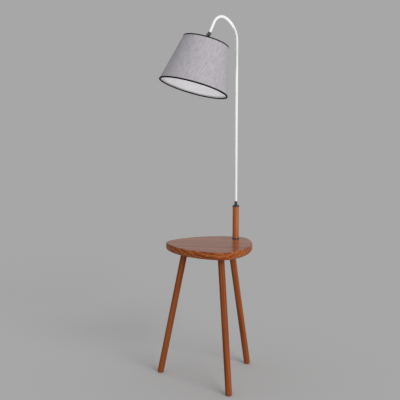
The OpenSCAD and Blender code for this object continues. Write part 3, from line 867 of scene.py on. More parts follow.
FINISHES: dict[str, Finish] = {
    finish.name: finish
    for finish in (
        Wood("table_wood", "#a75c2e", 0.36, dark="#652b12", pale="#c07a47", coat=0.85,
             grain_turn=(0, 0, math.radians(-54)), ring_gap=17 * MM, ring_tilt=math.radians(62),
             ring_share=0.36, board_w=90 * MM),
        Wood("leg_wood", "#8a4823", 0.38, dark="#602d12", pale="#a15c31"),
        Wood("post_wood", "#a8623a", 0.36, dark="#7d3f20", pale="#ba7446",
             grain_turn=(0, -RIGHT_ANGLE, 0), ring_gap=8 * MM),
        Metal("dark_nickel", "#6d7078", 0.14, 0.05),
        Metal("satin_nickel", "#a3a5aa", 0.22, 0.08),
        Metal("zinc_steel", "#c3c5c8", 0.34, 0.12),
        Metal("brass", "#d9b35f", 0.30, 0.12),
        Metal("bulb_metal", "#d6d4cc", 0.26, 0.10),
        Coating("black_metal", "#1b1b1d", 0.34, peel=0.03 * MM, peel_scale=900),
        Coating("white_lacquer", "#efefee", 0.32, gloss_coat=0.2, mottle=0.03),
        Coating("white_wire", "#ebebe9", 0.42, peel=0.04 * MM, peel_scale=1200),
        Coating("black_plastic", "#0c0c0d", 0.44, peel=0.03 * MM, peel_scale=1500),
        Coating("white_ceramic", "#e9e6dc", 0.28, gloss_coat=0.4),
        Coating("cable_sheath", "#e2e2df", 0.48, peel_scale=700),
        Coating("white_liner", "#f3f1f4", 0.55, peel_scale=260),
        Weave("grey_linen", "#c2bec4", 0.9, deep="#959197", sheen=0.1),
        Weave("black_tape", "#121213", 0.9, deep="#070708", pitch=0.6 * MM, slub_share=0.2,
              relief=0.12 * MM, sheen=0.0),
        Milky("opal_glass", "#f3f0e9", 0.16),
    )
}


# ---- Places ----


def joint(name: str) -> tuple[Vector, Vector]:
    """Gives a joint's point and axis from the frame."""
    found = next(entry for entry in frame["joints"] if entry["name"] == name)
    return Vector(found["pos_m"]), Vector(found["axis"])


@dataclass(frozen=True)
class Places:
    """Where the lamp's axes and joints lie, as read from the frame.

    post: Z up the post's axis, from the floor.
    arm: as post, with X out along the arm.
    pole_end: Z along the pole's last stretch, from its end.
    pivot: Z along the tilt joint's axis, from the middle of the knuckle.
    head: Z down the axis of the holder and the shade, level with the pivot.
    """

    post: Matrix
    arm: Matrix
    pole_end: Matrix
    pivot: Matrix
    head: Matrix

    @classmethod
    def read(cls, bend: float, reach: float) -> "Places":
        """Reads the places.

        Args:
            bend: How far the pole's last stretch is turned from upright.
            reach: Distance from the pole's end to the tilt joint.

        Returns:
            The places.
        """
        foot = middle("post")
        foot.z = 0
        point, axis = joint("head_tilt")
        out = point - foot
        out.z = 0
        out.normalize()
        tail = out * math.sin(bend) + UP * math.cos(bend)
        side = out * math.cos(bend) - UP * math.sin(bend)
        rim = middle("shade_top_ring")
        down = (middle("shade_bottom_ring") - rim).normalized()
        start = rim + down * (point - rim).dot(down)
        return cls(
            post=Matrix.Translation(foot),
            arm=place_of(foot, out, -axis, UP),
            pole_end=place_of(point - tail * reach, side, -axis, tail),
            pivot=place_of(point, side, tail, axis),
            head=place_of(start, (-axis).cross(down), -axis, down),
        )


@dataclass(frozen=True)
class Assembly:
    """What every sub-assembly has: the lamp's places."""

    places: Places

    def on_head(self, piece: Piece, slot: str, node: str) -> bpy.types.Object:
        """Puts a piece on the head's axis and finishes it."""
        return piece.put(self.places.head).done("head", slot, node)

    def build(self) -> None:
        """Builds the sub-assembly's pieces."""
        raise NotImplementedError


# ---- Table ----


@dataclass(frozen=True)
class Table(Assembly):
    """The three-cornered top and its three splayed dowel legs."""

    corner_offset: float = 130 * MM
    corner_r: float = 75.5 * MM
    edge_round: float = 5 * MM
    slope_w: float = 6 * MM
    slope_h: float = 7 * MM
    soft_edge: float = 1.2 * MM
    leg_r: float = 14 * MM
    leg_inset: float = 83.5 * MM
    leg_splay: float = math.radians(11.6)
    foot_bevel_l: float = 7 * MM
    foot_bevel_d: float = 5.5 * MM
    bolt_hole_r: float = 4.1 * MM
    bolt_depth: float = 36 * MM
    insert_hole_r: float = 6.2 * MM
    insert_depth: float = 16.3 * MM
    rod_hole_r: float = 5.1 * MM

    @property
    def under(self) -> float:
        """Height of the top's underside."""
        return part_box("table_top")[0].z

    @property
    def centre(self) -> Matrix:
        """Place of the table's centre, on the floor."""
        reach = self.corner_offset + self.corner_r
        return Matrix.Translation((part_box("table_top")[1].x - reach, 0, 0))

    def leg_place(self, azimuth: float) -> Matrix:
        """Gives the place of the leg on this side of the centre: Z up its axis, from the underside."""
        out = Vector((self.corner_offset + self.corner_r - self.leg_inset, 0, self.under))
        return self.centre @ Matrix.Rotation(azimuth, 4, "Z") @ place_at(out, -self.leg_splay, "Y")

    def outline(self) -> list[Point2]:
        """Gives the top's outline.

        Returns:
            Its points: a corner arc and a flat side arc for each leg.
        """
        side_r = self.corner_offset * math.sqrt(3) + self.corner_r
        half = THIRD / 4
        points: list[Point2] = []
        for azimuth in (0, THIRD, 2 * THIRD):
            for turn, radius, facing, steps in (
                (azimuth, self.corner_r, azimuth, 18),
                (azimuth + 2 * THIRD, side_r, azimuth + THIRD / 2, 24),
            ):
                corner = (self.corner_offset * math.cos(turn), self.corner_offset * math.sin(turn))
                points += arc(corner, radius, facing - half, facing + half, steps)[:-1]
        return points

    def build_top(self) -> None:
        """Builds the top: a rounded upper edge, a slope under it, and the holes for rod and legs."""
        low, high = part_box("table_top")
        band = low.z + self.slope_h
        top = Piece.slab("table_board", self.outline(), band, high.z)
        with top.editing():
            top.pick(Element.FACE, lambda at, normal: normal.z < -0.9)
            bpy.ops.mesh.inset(thickness=self.slope_w, depth=self.slope_h)
            for height, width, segments in (
                (high.z, self.edge_round, 7), (band, self.soft_edge, 3), (low.z, self.soft_edge, 3)
            ):
                top.pick(Element.EDGE, lambda a, b: max(abs(a.z - height), abs(b.z - height)) < MM / 10)
                bpy.ops.mesh.bevel(offset=width, segments=segments, affect="EDGES")
            top.pick(Element.FACE, lambda at, normal: abs(normal.z) > 0.999)
            bpy.ops.mesh.inset(thickness=MM)
        top.put(self.centre)
        top.combine(peg(self.rod_hole_r, low.z - MM, high.z + MM, self.places.post))
        for azimuth in (0, THIRD, -THIRD):
            place = self.leg_place(azimuth)
            top.combine(peg(self.insert_hole_r, -self.insert_hole_r, self.insert_depth, place))
        top.done("table", "table_wood", "table_top")

    def build_leg(self, side: str, azimuth: float) -> None:
        """Builds one leg, cut level at both ends, with the hole for its bolt.

        Args:
            side: The leg's side, as in its solid's name.
            azimuth: The side of the table's centre on which it stands.
        """
        place = self.leg_place(azimuth)
        end_r = self.leg_r - self.foot_bevel_d
        length = (self.under + end_r * math.sin(self.leg_splay)) / math.cos(self.leg_splay)
        profile = [
            (0, -length, 0), (end_r, -length, 0), (self.leg_r, self.foot_bevel_l - length, 1.5 * MM),
            (self.leg_r, self.leg_r, 0), (0, self.leg_r, 0),
        ]
        leg = Piece.turned(f"dowel_leg_{side}", profile).put(place)
        leg.trim(UP, 0, self.under)
        leg.combine(peg(self.bolt_hole_r, -self.bolt_depth, self.leg_r, place))
        grain = place.to_3x3() @ Matrix.Rotation(-RIGHT_ANGLE, 3, "Y")
        wood = replace(FINISHES["leg_wood"], name=f"leg_wood_{side}", grain_turn=tuple(grain.to_euler()))
        leg.done("table", "leg_wood", f"leg_{side}", finish=wood)

    def build(self) -> None:
        """Builds the top and the legs."""
        self.build_top()
        for side, azimuth in (("back", 0), ("left", THIRD), ("front", -THIRD)):
            self.build_leg(side, azimuth)


@dataclass(frozen=True)
class Post(Assembly):
    """The short post, the ring at its foot, its polished cap and what holds it under the table."""

    post_r: float = 14 * MM
    rod_r: float = 5 * MM
    collar_wall: float = 1.2 * MM
    shoulder: float = 0.8 * MM
    cap_plate_t: float = 2.5 * MM
    groove_at: float = 0.32
    groove_d: float = 0.4 * MM
    washer_r: float = 11 * MM
    nut_w: float = 14 * MM
    bushing_r: float = 7.5 * MM
    cord_hole_r: float = 3.3 * MM
    bushing_l: float = 8 * MM

    @property
    def hole_r(self) -> float:
        """Radius of a hole for the rod."""
        return self.rod_r + FIT

    @property
    def bore_r(self) -> float:
        """Radius of a bore for the post."""
        return self.post_r + FIT

    def ring(self, name: str, node: str, slot: str, corners: Sequence[Corner]) -> None:
        """Turns a ring for a solid, from an outline with heights above the solid's underside."""
        ring = Piece.turned(name, lifted(corners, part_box(node)[0].z), segments=128)
        ring.put(self.places.post).done("table", slot, node)

    def build_post(self) -> None:
        """Builds the wooden post and the polished ring at its foot."""
        post = collar(self.hole_r, self.post_r, 0, tall("post"), self.shoulder, self.shoulder)
        self.ring("dowel_post", "post", "post_wood", post)
        outer_r = self.bore_r + self.collar_wall
        foot = collar(self.bore_r, outer_r, 0, tall("post_base_ring"), SOFT, self.shoulder)
        self.ring("post_foot_ring", "post_base_ring", "dark_nickel", foot)

    def build_cap(self) -> None:
        """Builds the polished cap: a cup with a groove round it and a rounded shoulder."""
        outer_r = self.bore_r + self.collar_wall
        height = tall("post_cap")
        inside = height - self.cap_plate_t
        groove = height * self.groove_at
        soft = 0.2 * MM
        corners = [
            (self.bore_r, 0, soft), (outer_r, 0, 0.5 * MM), (outer_r, groove, soft),
            (outer_r - self.groove_d, groove + self.groove_d, soft),
            (outer_r, groove + 2 * self.groove_d, soft), (outer_r, height, 1.4 * MM),
            (self.hole_r, height, SOFT), (self.hole_r, inside, 0), (self.bore_r, inside, 0),
        ]
        self.ring("polished_cap", "post_cap", "dark_nickel", corners)

    def build_nut(self) -> None:
        """Builds the six-sided nut, with both faces chamfered."""
        low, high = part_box("tie_nut")[0].z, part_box("tie_nut")[1].z
        flat, reach = self.nut_w / 2, self.nut_w / math.sqrt(3)
        drop = (reach - flat) * math.tan(math.radians(30))
        chamfer = [
            (0, low, 0), (flat, low, 0), (reach, low + drop, 0), (reach, high - drop, 0),
            (flat, high, 0), (0, high, 0),
        ]
        nut = peg(reach, low, high, sides=6)
        nut.obj.name = "rod_nut"
        nut.combine(Piece.turned("chamfer", chamfer), "INTERSECT")
        nut.combine(peg(self.hole_r, low - MM, high + MM)).put(self.places.post)
        nut.done("table", "zinc_steel", "tie_nut")

    def build_bushing(self) -> None:
        """Builds the cord bushing, which screws onto the rod's end."""
        top = tall("cord_bushing")
        corners = [
            (self.cord_hole_r, 0, MM), (self.bushing_r, 0, 2 * MM), (self.bushing_r, top, 0.4 * MM),
            (self.hole_r, top, 0), (self.hole_r, self.bushing_l, 0), (self.cord_hole_r, self.bushing_l, 0),
        ]
        self.ring("cord_bushing_nose", "cord_bushing", "black_plastic", corners)

    def build(self) -> None:
        """Builds the post and all that goes round it."""
        self.build_post()
        self.build_cap()
        washer = collar(self.hole_r, self.washer_r, 0, tall("tie_washer"))
        self.ring("rod_washer", "tie_washer", "zinc_steel", washer)
        self.build_nut()
        self.build_bushing()


# ---- Arm ----


@dataclass(frozen=True)
class Pole(Assembly):
    """The bent white pole and the coupling that turns on the rod."""

    pole_r: float = 6 * MM
    wall: float = 1.5 * MM
    first_r: float = 108 * MM
    first_turn: float = math.radians(64.4)
    second_r: float = 45 * MM
    second_turn: float = math.radians(88.5)
    tail: float = 48 * MM
    pivot_reach: float = 10 * MM
    coupling_r: float = 6.5 * MM
    coupling_h: float = 17 * MM
    lip_h: float = 3 * MM
    groove_d: float = 0.6 * MM
    rod_in: float = 9.1 * MM
    rod_bore_r: float = 5.06 * MM
    spigot_r: float = 4.4 * MM
    cable_hole_r: float = 3.1 * MM
    grub_r: float = 1.5 * MM
    grub_start: float = 4.4 * MM
    grub_end: float = 6.2 * MM
    grub_height: float = 4.5 * MM
    grub_socket_r: float = 0.825 * MM

    def build_pole(self) -> None:
        """Bends the tube: a circle extruded up, spun round both bends and extruded to its end."""
        low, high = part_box("pole_tube")
        sine, cosine = math.sin(self.first_turn), math.cos(self.first_turn)
        bend_z = high.z - self.pole_r - self.first_r * sine - self.second_r * (1 - sine)
        second = (
            self.first_r * (1 - cosine) + self.second_r * cosine,
            0,
            bend_z + (self.first_r - self.second_r) * sine,
        )
        bend = self.first_turn + self.second_turn
        run = (self.tail * math.sin(bend), 0, self.tail * math.cos(bend))
        deselect()
        bpy.ops.mesh.primitive_circle_add(vertices=48, radius=self.pole_r, location=(0, 0, low.z))
        pole = Piece("bent_pole").put(BENCH)
        with pole.editing(whole=True):
            bpy.ops.mesh.extrude_edges_move(TRANSFORM_OT_translate={"value": (0, 0, bend_z - low.z)})
            for centre, turn in (((self.first_r, 0, bend_z), self.first_turn), (second, self.second_turn)):
                bpy.ops.mesh.spin(steps=28, angle=-turn, center=centre, axis=(0, 1, 0))
            bpy.ops.mesh.extrude_edges_move(TRANSFORM_OT_translate={"value": run})
            pole.close_up()
        pole.modify("SOLIDIFY", thickness=self.wall, offset=-1)
        pole.put(self.places.arm).done("arm", "white_lacquer", "pole_tube")

    def build_coupling(self) -> None:
        """Builds the polished coupling, its spigot and the grub screw in its side."""
        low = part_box("pole_coupling")[0].z
        top = tall("pole_coupling")
        neck = self.coupling_h - self.lip_h
        corners = [
            (self.rod_bore_r, 0, 0), (self.coupling_r, 0, 0.7 * MM), (self.coupling_r, neck, SOFT),
            (self.coupling_r - self.groove_d, neck + MM / 2, SOFT), (self.coupling_r, neck + MM, SOFT),
            (self.coupling_r, self.coupling_h, 0.4 * MM), (self.spigot_r, self.coupling_h, 0),
            (self.spigot_r, top, SOFT), (self.cable_hole_r, top, 0),
            (self.cable_hole_r, self.rod_in, 0), (self.rod_bore_r, self.rod_in, 0),
        ]
        coupling = Piece.turned("turning_coupling", lifted(corners, low)).put(self.places.arm)
        hole = self.places.arm @ place_at((0, 0, low + self.grub_height), RIGHT_ANGLE, "Y")
        coupling.combine(peg(self.grub_r + FIT, 0, 2 * self.coupling_r, hole))
        coupling.done("arm", "dark_nickel", "pole_coupling")
        profile = collar(0, self.grub_r, self.grub_start, self.grub_end, MM / 4, MM / 4)
        grub = Piece.turned("socket_grub_screw", profile, segments=32)
        grub.combine(peg(self.grub_socket_r, self.grub_end - MM, self.grub_end + MM, sides=6))
        grub.put(hole).done("arm", "black_metal", "grub_screw")

    def build(self) -> None:
        """Builds the pole and the coupling."""
        self.build_pole()
        self.build_coupling()


@dataclass(frozen=True)
class Knuckle(Assembly):
    """The fork on the pole's end, the tongue between its cheeks, and their bolt and wing nut."""

    fork_r: float = 7 * MM
    fork_half: float = 6.4 * MM
    slot_half: float = 3.6 * MM
    foot_t: float = 2.5 * MM
    reach: float = 10 * MM
    stem_l: float = 16 * MM
    stem_r: float = 4.4 * MM
    cheek_r: float = 5.5 * MM
    cable_hole_r: float = 3.1 * MM
    pin_r: float = 2.5 * MM
    pin_hole_r: float = 2.56 * MM
    head_r: float = 4.4 * MM
    head_h: float = 2.8 * MM
    socket_r: float = 2 * MM
    socket_d: float = 1.8 * MM
    hub_r: float = 5 * MM
    hub_l: float = 6 * MM
    wing_reach: float = 14 * MM
    wing_t: float = 2.4 * MM
    wing_rise: float = 4 * MM
    wing_waist: float = 8.4 * MM
    wing_neck: float = 8.68 * MM
    wing_turn: float = math.radians(110)
    eye_r: float = 5.5 * MM
    tongue_half: float = 2.4 * MM
    eye_offset: float = 4 * MM
    cap_drop: float = 17 * MM
    plate_t: float = 2 * MM
    plate_r: float = 11 * MM
    tongue_stem_r: float = 4.9 * MM
    tongue_stem_l: float = 5.3 * MM

    def cheek(self, low: float, high: float, near: float, centre: Point2, radius: float) -> Piece:
        """Cuts a plate with one round end.

        Args:
            low: The plate's lower face across the pivot.
            high: The plate's upper face across the pivot.
            near: Where its square end lies along Z.
            centre: The round end's centre, in X and Z.
            radius: The round end's radius.

        Returns:
            The plate, standing in the X-Z plane.
        """
        facing = math.copysign(math.pi, centre[1] - near)
        outline = [(centre[0] - radius, near), (centre[0] + radius, near)]
        outline += arc(centre, radius, 0, facing, 20)
        if facing < 0:
            outline.reverse()
        return Piece.slab("cheek", outline, low, high).put(UPRIGHT)

    def pin_peg(self, at: Sequence[float], reach: float) -> Piece:
        """Makes a peg for the pin's hole, across a point."""
        return peg(self.pin_hole_r, -reach, reach, Matrix.Translation(at) @ UPRIGHT)

    def build_fork(self) -> None:
        """Builds the slotted fork on its stem."""
        profile = [
            (self.cable_hole_r, -self.stem_l, 0), (self.stem_r, -self.stem_l, 0.4 * MM),
            (self.stem_r, 0, 0), (self.fork_r, 0, 0.8 * MM), (self.fork_r, self.foot_t, 0.5 * MM),
            (self.cable_hole_r, self.foot_t, 0),
        ]
        fork = Piece.turned("forked_end", profile)
        fork.trim(Vector((0, 1, 0)), -self.fork_half, self.fork_half)
        near = self.foot_t / 2
        for low, high in ((self.slot_half, self.fork_half), (-self.fork_half, -self.slot_half)):
            fork.combine(self.cheek(low, high, near, (0, self.reach), self.cheek_r), "UNION")
        fork.combine(self.pin_peg((0, 0, self.reach), self.fork_r))
        fork.soften(0.35 * MM).put(self.places.pole_end)
        fork.done("arm", "dark_nickel", "knuckle_fork", finish=FINISHES["satin_nickel"])

    def build_tongue(self) -> None:
        """Builds the tongue that carries the lamp holder."""
        top = self.cap_drop - self.plate_t
        end = self.cap_drop + self.tongue_stem_l
        profile = [
            (0, top, 0), (self.plate_r, top, 0.6 * MM), (self.plate_r, self.cap_drop, 0.5 * MM),
            (self.tongue_stem_r, self.cap_drop, 0), (self.tongue_stem_r, end, SOFT),
            (self.cable_hole_r, end, 0), (self.cable_hole_r, self.cap_drop - MM, 0),
            (0, self.cap_drop - MM, 0),
        ]
        tongue = Piece.turned("holder_tongue", profile)
        near = top + self.plate_t / 4
        eye = (self.eye_offset, 0)
        tongue.combine(self.cheek(-self.tongue_half, self.tongue_half, near, eye, self.eye_r), "UNION")
        tongue.combine(self.pin_peg((self.eye_offset, 0, 0), self.eye_r))
        self.on_head(tongue.soften(0.4 * MM), "dark_nickel", "knuckle_tongue")

    def build_bolt(self) -> None:
        """Builds the pivot bolt, with a socket in its head."""
        under = -self.fork_half
        top = under - self.head_h
        tail = self.fork_half + FIT + self.hub_l + self.wing_rise / 2
        profile = [
            (0, top, 0), (self.head_r - self.head_h / 2, top, 0.6 * MM),
            (self.head_r, top + self.head_h / 2, 0.8 * MM), (self.head_r, under, 0.2 * MM),
            (self.pin_r, under, 0), (self.pin_r, tail, 0.5 * MM), (0, tail, 0),
        ]
        bolt = Piece.turned("pivot_bolt", profile)
        bolt.combine(peg(self.socket_r, top - MM, top + self.socket_d, sides=6))
        bolt.put(self.places.pivot).done("arm", "dark_nickel", "knuckle_bolt")

    def build_wing_nut(self) -> None:
        """Builds the wing nut: a hub and two rounded ears."""
        hub = collar(self.pin_hole_r, self.hub_r, 0, self.hub_l, 0.5 * MM, 1.2 * MM)
        nut = Piece.turned("wing_nut_grip", hub)
        root = self.hub_l / 2 + SOFT
        inner = self.hub_r - 1.4 * MM
        top = self.hub_l + self.wing_rise
        outline = [
            (inner, root, 0), (self.wing_waist, root, 2 * MM),
            (self.wing_reach, self.hub_l / 2 + 2 * MM, 2 * MM), (self.wing_reach, top, 2.4 * MM),
            (self.wing_neck, top, 2 * MM), (inner, self.hub_l - 0.4 * MM, 0),
        ]
        ear = Piece.slab("ear", rounded(outline, True, 6), -self.wing_t / 2, self.wing_t / 2)
        ear.soften(0.7 * MM, 3)
        opposite = ear.copy().put(Matrix.Rotation(math.pi, 4, "Z") @ UPRIGHT)
        nut.combine(ear.put(UPRIGHT), "UNION").combine(opposite, "UNION")
        nut.put(self.places.pivot @ place_at((0, 0, self.fork_half + FIT), self.wing_turn, "Z"))
        nut.done("wing_nut", "black_plastic", "wing_nut")

    def build(self) -> None:
        """Builds the knuckle."""
        self.build_fork()
        self.build_tongue()
        self.build_bolt()
        self.build_wing_nut()


# ---- Head ----


@dataclass(frozen=True)
class Holder(Assembly):
    """The lamp holder: its domed cap, its barrel and the ring that clamps the shade."""

    start: float = 17 * MM
    cap_r: float = 19.4 * MM
    cap_h: float = 23 * MM
    cap_wall: float = 1.3 * MM
    cap_round: float = 8 * MM
    stem_hole_r: float = 5 * MM
    neck_r: float = 18 * MM
    neck_l: float = 5 * MM
    neck_bore_r: float = 14.8 * MM
    bore_r: float = 16.2 * MM
    bore_start: float = 42 * MM
    band_h: float = 4 * MM
    flange_r: float = 22.5 * MM
    flange_t: float = 2 * MM
    skirt_r: float = 19.3 * MM
    skirt_l: float = 28 * MM
    thread_pitch: float = 2.5 * MM
    thread_depth: float = 0.7 * MM
    clamp_bore_r: float = 19.4 * MM
    clamp_r: float = 25.5 * MM
    clamp_h: float = 7.5 * MM
    grip_count: int = 30
    grip_d: float = 0.7 * MM

    @property
    def cap_end(self) -> float:
        """Where the cap ends and the band starts, down the head's axis."""
        return self.start + self.cap_h

    @property
    def flange_end(self) -> float:
        """Where the flange ends, against the shade's plate."""
        return self.cap_end + self.band_h + self.flange_t

    def build_cap(self) -> None:
        """Builds the domed cap, with a rolled rim."""
        inner_r = self.cap_r - self.cap_wall
        inner_top = self.start + self.cap_wall
        profile = [
            (self.stem_hole_r, self.start, 0.2 * MM), (self.cap_r, self.start, self.cap_round),
            (self.cap_r, self.cap_end, 0.4 * MM), (inner_r, self.cap_end, SOFT),
            (inner_r, inner_top, self.cap_round - self.cap_wall), (self.stem_hole_r, inner_top, 0),
        ]
        dome = Piece.turned("holder_dome", profile, segments=128, steps=10)
        self.on_head(dome, "black_metal", "holder_cap")

    def build_barrel(self) -> None:
        """Builds the barrel: neck, band and flange, with a thread below them for the clamp ring."""
        band_end = self.cap_end + self.band_h
        neck = self.cap_end - self.neck_l
        skirt_end = self.flange_end + self.skirt_l
        root_r = self.skirt_r - self.thread_depth
        soft = 0.4 * MM
        barrel = threaded(
            "holder_barrel", root_r, self.skirt_r, self.thread_pitch, self.flange_end - self.flange_t / 2,
            skirt_end - 1.2 * MM,
        )
        profile = [
            (0, neck, 0), (self.neck_r, neck, soft), (self.neck_r, self.cap_end, 0),
            (self.cap_r, self.cap_end, 0.6 * MM), (self.cap_r, band_end, 0),
            (self.flange_r, band_end, 0.6 * MM), (self.flange_r, self.flange_end, soft),
            (root_r, self.flange_end, 0), (root_r, skirt_end, 0.8 * MM), (0, skirt_end, 0),
        ]
        barrel.combine(Piece.turned("upper_barrel", profile, segments=64), "UNION")
        barrel.combine(peg(self.neck_bore_r, neck - MM, self.bore_start + MM, sides=64))
        barrel.combine(peg(self.bore_r, self.bore_start, skirt_end + MM, sides=64))
        self.on_head(barrel, "black_plastic", "holder_body")

    def build_clamp(self) -> None:
        """Builds the ring that clamps the shade's plate, with finger grips sunk in its rim."""
        top = self.flange_end + length_along("carrier_plate", self.places.head)
        end = top + self.clamp_h
        outline = [
            (self.clamp_bore_r, top, SOFT), (self.clamp_r, top, 0.8 * MM), (self.clamp_r, end, 1.2 * MM),
            (self.clamp_bore_r, end, 0.5 * MM),
        ]
        clamp = Piece.turned("shade_clamp", outline, segments=4 * self.grip_count)
        step = FULL_TURN / self.grip_count
        with clamp.editing():
            clamp.pick(
                Element.FACE,
                lambda at, normal: abs(normal.z) < 0.01
                and math.hypot(at.x, at.y) > self.clamp_r - MM / 2
                and (math.atan2(at.y, at.x) % step) < step / 2,
            )
            bpy.ops.mesh.inset(thickness=0.25 * MM, depth=-self.grip_d)
        self.on_head(clamp, "black_plastic", "holder_ring")

    def build(self) -> None:
        """Builds the holder."""
        self.build_cap()
        self.build_barrel()
        self.build_clamp()


@dataclass(frozen=True)
class Shade(Assembly):
    """The conical shade: linen over a white liner, edge tape, two ring wires and their carrier."""

    drop: float = 32.4 * MM
    top_r: float = 98.5 * MM
    bottom_r: float = 148.5 * MM
    height: float = 206.3 * MM
    fabric_t: float = 0.8 * MM
    liner_t: float = 0.5 * MM
    lap_w: float = 8 * MM
    tape_t: float = 0.7 * MM
    tape_w: float = 5 * MM
    wire_r: float = 1.5 * MM
    weld_half: float = 0.03
    weld_t: float = 0.35 * MM
    spoke_count: int = 3
    spoke_turn: float = math.radians(60)
    plate_start: float = 46 * MM
    plate_t: float = 1.6 * MM
    plate_r: float = 26 * MM
    plate_bore_r: float = 19.4 * MM
    segments: int = 192

    @property
    def slope(self) -> float:
        """How far the fabric leans from the head's axis."""
        return math.atan((self.bottom_r - self.top_r) / self.height)

    @property
    def slant(self) -> float:
        """Length of the fabric from rim to rim."""
        return self.height / math.cos(self.slope)

    @property
    def tip(self) -> float:
        """Length from the cone's missing tip to the upper rim."""
        return self.top_r / math.sin(self.slope)

    @property
    def edge(self) -> float:
        """How far the linen and the liner stop short of each rim."""
        return self.tape_t + FIT

    def on_cloth(self, depth: float, along: float) -> Point2:
        """Gives the radius and height of a point under the fabric's face.

        Args:
            depth: How far the point lies under the face.
            along: How far it lies along the face, from the upper rim.

        Returns:
            Its radius and its height down the head's axis.
        """
        sine, cosine = math.sin(self.slope), math.cos(self.slope)
        return self.top_r - depth * cosine + along * sine, self.drop + depth * sine + along * cosine

    def section(self, corners: Sequence[Corner], lower: bool = False) -> list[Corner]:
        """Places an outline of depths and lengths along the face, from the upper or the lower rim."""
        return [
            (*self.on_cloth(depth, self.slant - along if lower else along), soft)
            for depth, along, soft in corners
        ]

    def lay_flat(self, piece: Piece) -> None:
        """Gives each face corner its place on the cone's flat cut, in metres, as its only UV.

        Args:
            piece: A piece that lies on the cone, still on the bench.
        """
        mesh = piece.obj.data
        # A primitive's own layer would stay the active one.
        while mesh.uv_layers:
            mesh.uv_layers.remove(mesh.uv_layers[0])
        layer = mesh.uv_layers.new(name="flat_cut")
        sine = math.sin(self.slope)
        for face in mesh.polygons:
            facing = math.atan2(face.center.y, face.center.x) % FULL_TURN
            for index in face.loop_indices:
                at = mesh.vertices[mesh.loops[index].vertex_index].co
                angle = math.atan2(at.y, at.x)
                angle += FULL_TURN * round((facing - angle) / FULL_TURN)
                reach = self.tip + (math.hypot(at.x, at.y) - self.top_r) / sine
                turn = (angle - math.pi) * sine
                layer.data[index].uv = (reach * math.sin(turn), reach * math.cos(turn))

    def build_cover(self) -> bpy.types.Object:
        """Builds the linen with its lapped seam on the side that faces the pole.

        Returns:
            The linen.
        """
        half = self.fabric_t / 2
        skin = collar(half, self.fabric_t, self.edge, self.slant - self.edge, 0, 0)
        cover = Piece.turned("linen_cover", self.section(skin), segments=self.segments)
        lap = self.section([(depth - half, along, soft) for depth, along, soft in skin])
        strip = Piece.filled("lap", [Vector((radius, 0, height)) for radius, height, _ in lap])
        with strip.editing(whole=True):
            bpy.ops.mesh.spin(steps=4, angle=self.lap_w / self.bottom_r, center=(0, 0, 0), axis=UP)
            strip.close_up()
        cover.join(strip)
        self.lay_flat(cover)
        return self.on_head(cover, "grey_linen", "shade_fabric")

    def build_lining(self) -> None:
        """Builds the white lining."""
        outer = self.fabric_t + FIT
        skin = collar(outer, outer + self.liner_t, self.edge, self.slant - self.edge, 0, 0)
        lining = Piece.turned("inner_lining", self.section(skin), segments=self.segments)
        self.on_head(lining, "white_liner", "shade_liner")

    def build_tape(self, name: str, node: str, lower: bool) -> bpy.types.Object:
        """Builds the tape folded over one rim, with a short hem where the carrier's wires pass.

        Args:
            name: The piece's name.
            node: The solid that it stands for.
            lower: Whether it is the lower rim.

        Returns:
            The tape.
        """
        outer = -self.tape_t - FIT
        inner = self.fabric_t + self.liner_t + 2 * FIT + 2 * self.wire_r + FIT
        hem = self.tape_w if lower else self.tape_t + self.wire_r / 2
        fold = [
            (outer, 0, 2 * SOFT), (outer, self.tape_w, SOFT), (-FIT, self.tape_w, 0),
            (-FIT, self.tape_t, 0), (inner, self.tape_t, 0), (inner, hem, 0),
            (inner + self.tape_t, hem, SOFT / 2), (inner + self.tape_t, 0, 2 * SOFT),
        ]
        tape = Piece.turned(name, self.section(fold, lower), segments=self.segments)
        self.lay_flat(tape)
        return self.on_head(tape, "black_tape", node)

    def wire_ring(self, lower: bool) -> Point2:
        """Gives the radius and height of a ring wire's middle."""
        at = (self.fabric_t + self.liner_t + 2 * FIT + self.wire_r, self.edge + self.wire_r, 0)
        return self.section([at], lower)[0][:2]

    def build_wire(self, name: str, node: str, lower: bool) -> None:
        """Builds a ring wire with a butt weld that stands proud on its inner side.

        Args:
            name: The piece's name.
            node: The solid that it stands for.
            lower: Whether it is the lower ring.
        """
        radius, height = self.wire_ring(lower)
        deselect()
        bpy.ops.mesh.primitive_torus_add(
            major_radius=radius, minor_radius=self.wire_r, major_segments=self.segments,
            minor_segments=16, location=(0, 0, height),
        )
        ring = Piece(name).put(BENCH)
        with ring.editing():
            ring.pick(
                Element.FACE,
                lambda at, normal: abs(math.atan2(at.y, at.x)) < self.weld_half
                and math.hypot(at.x, at.y) < radius,
            )
            bpy.ops.transform.shrink_fatten(value=self.weld_t)
            ring.close_up()
        self.on_head(ring, "white_wire", node)

    def build_carrier(self) -> None:
        """Builds the carrier's disc and the wires that run from it to the upper ring."""
        end = self.plate_start + self.plate_t
        soft = 0.5 * MM
        profile = collar(self.plate_bore_r, self.plate_r, self.plate_start, end, soft, soft, SOFT)
        self.on_head(Piece.turned("carrier_disc", profile), "white_wire", "carrier_plate")
        ring_r, ring_s = self.wire_ring(lower=False)
        start = Vector((self.plate_r - self.wire_r, 0, self.plate_start + self.plate_t / 2))
        run = Vector((ring_r - 0.2 * self.wire_r, 0, ring_s + self.wire_r)) - start
        profile = collar(0, self.wire_r, 0, run.length, self.wire_r / 3, self.wire_r / 3)
        wires = Piece.turned("carrier_wires", profile, segments=24, steps=3)
        wires.put(Matrix.LocRotScale(start, UP.rotation_difference(run), None))
        step = FULL_TURN / self.spoke_count
        others = [wires.copy() for _ in range(1, self.spoke_count)]
        wires.put(Matrix.Rotation(self.spoke_turn, 4, "Z"))
        for index, other in enumerate(others, 1):
            wires.join(other.put(Matrix.Rotation(self.spoke_turn + index * step, 4, "Z")))
        self.on_head(wires, "white_wire", "carrier_spokes")

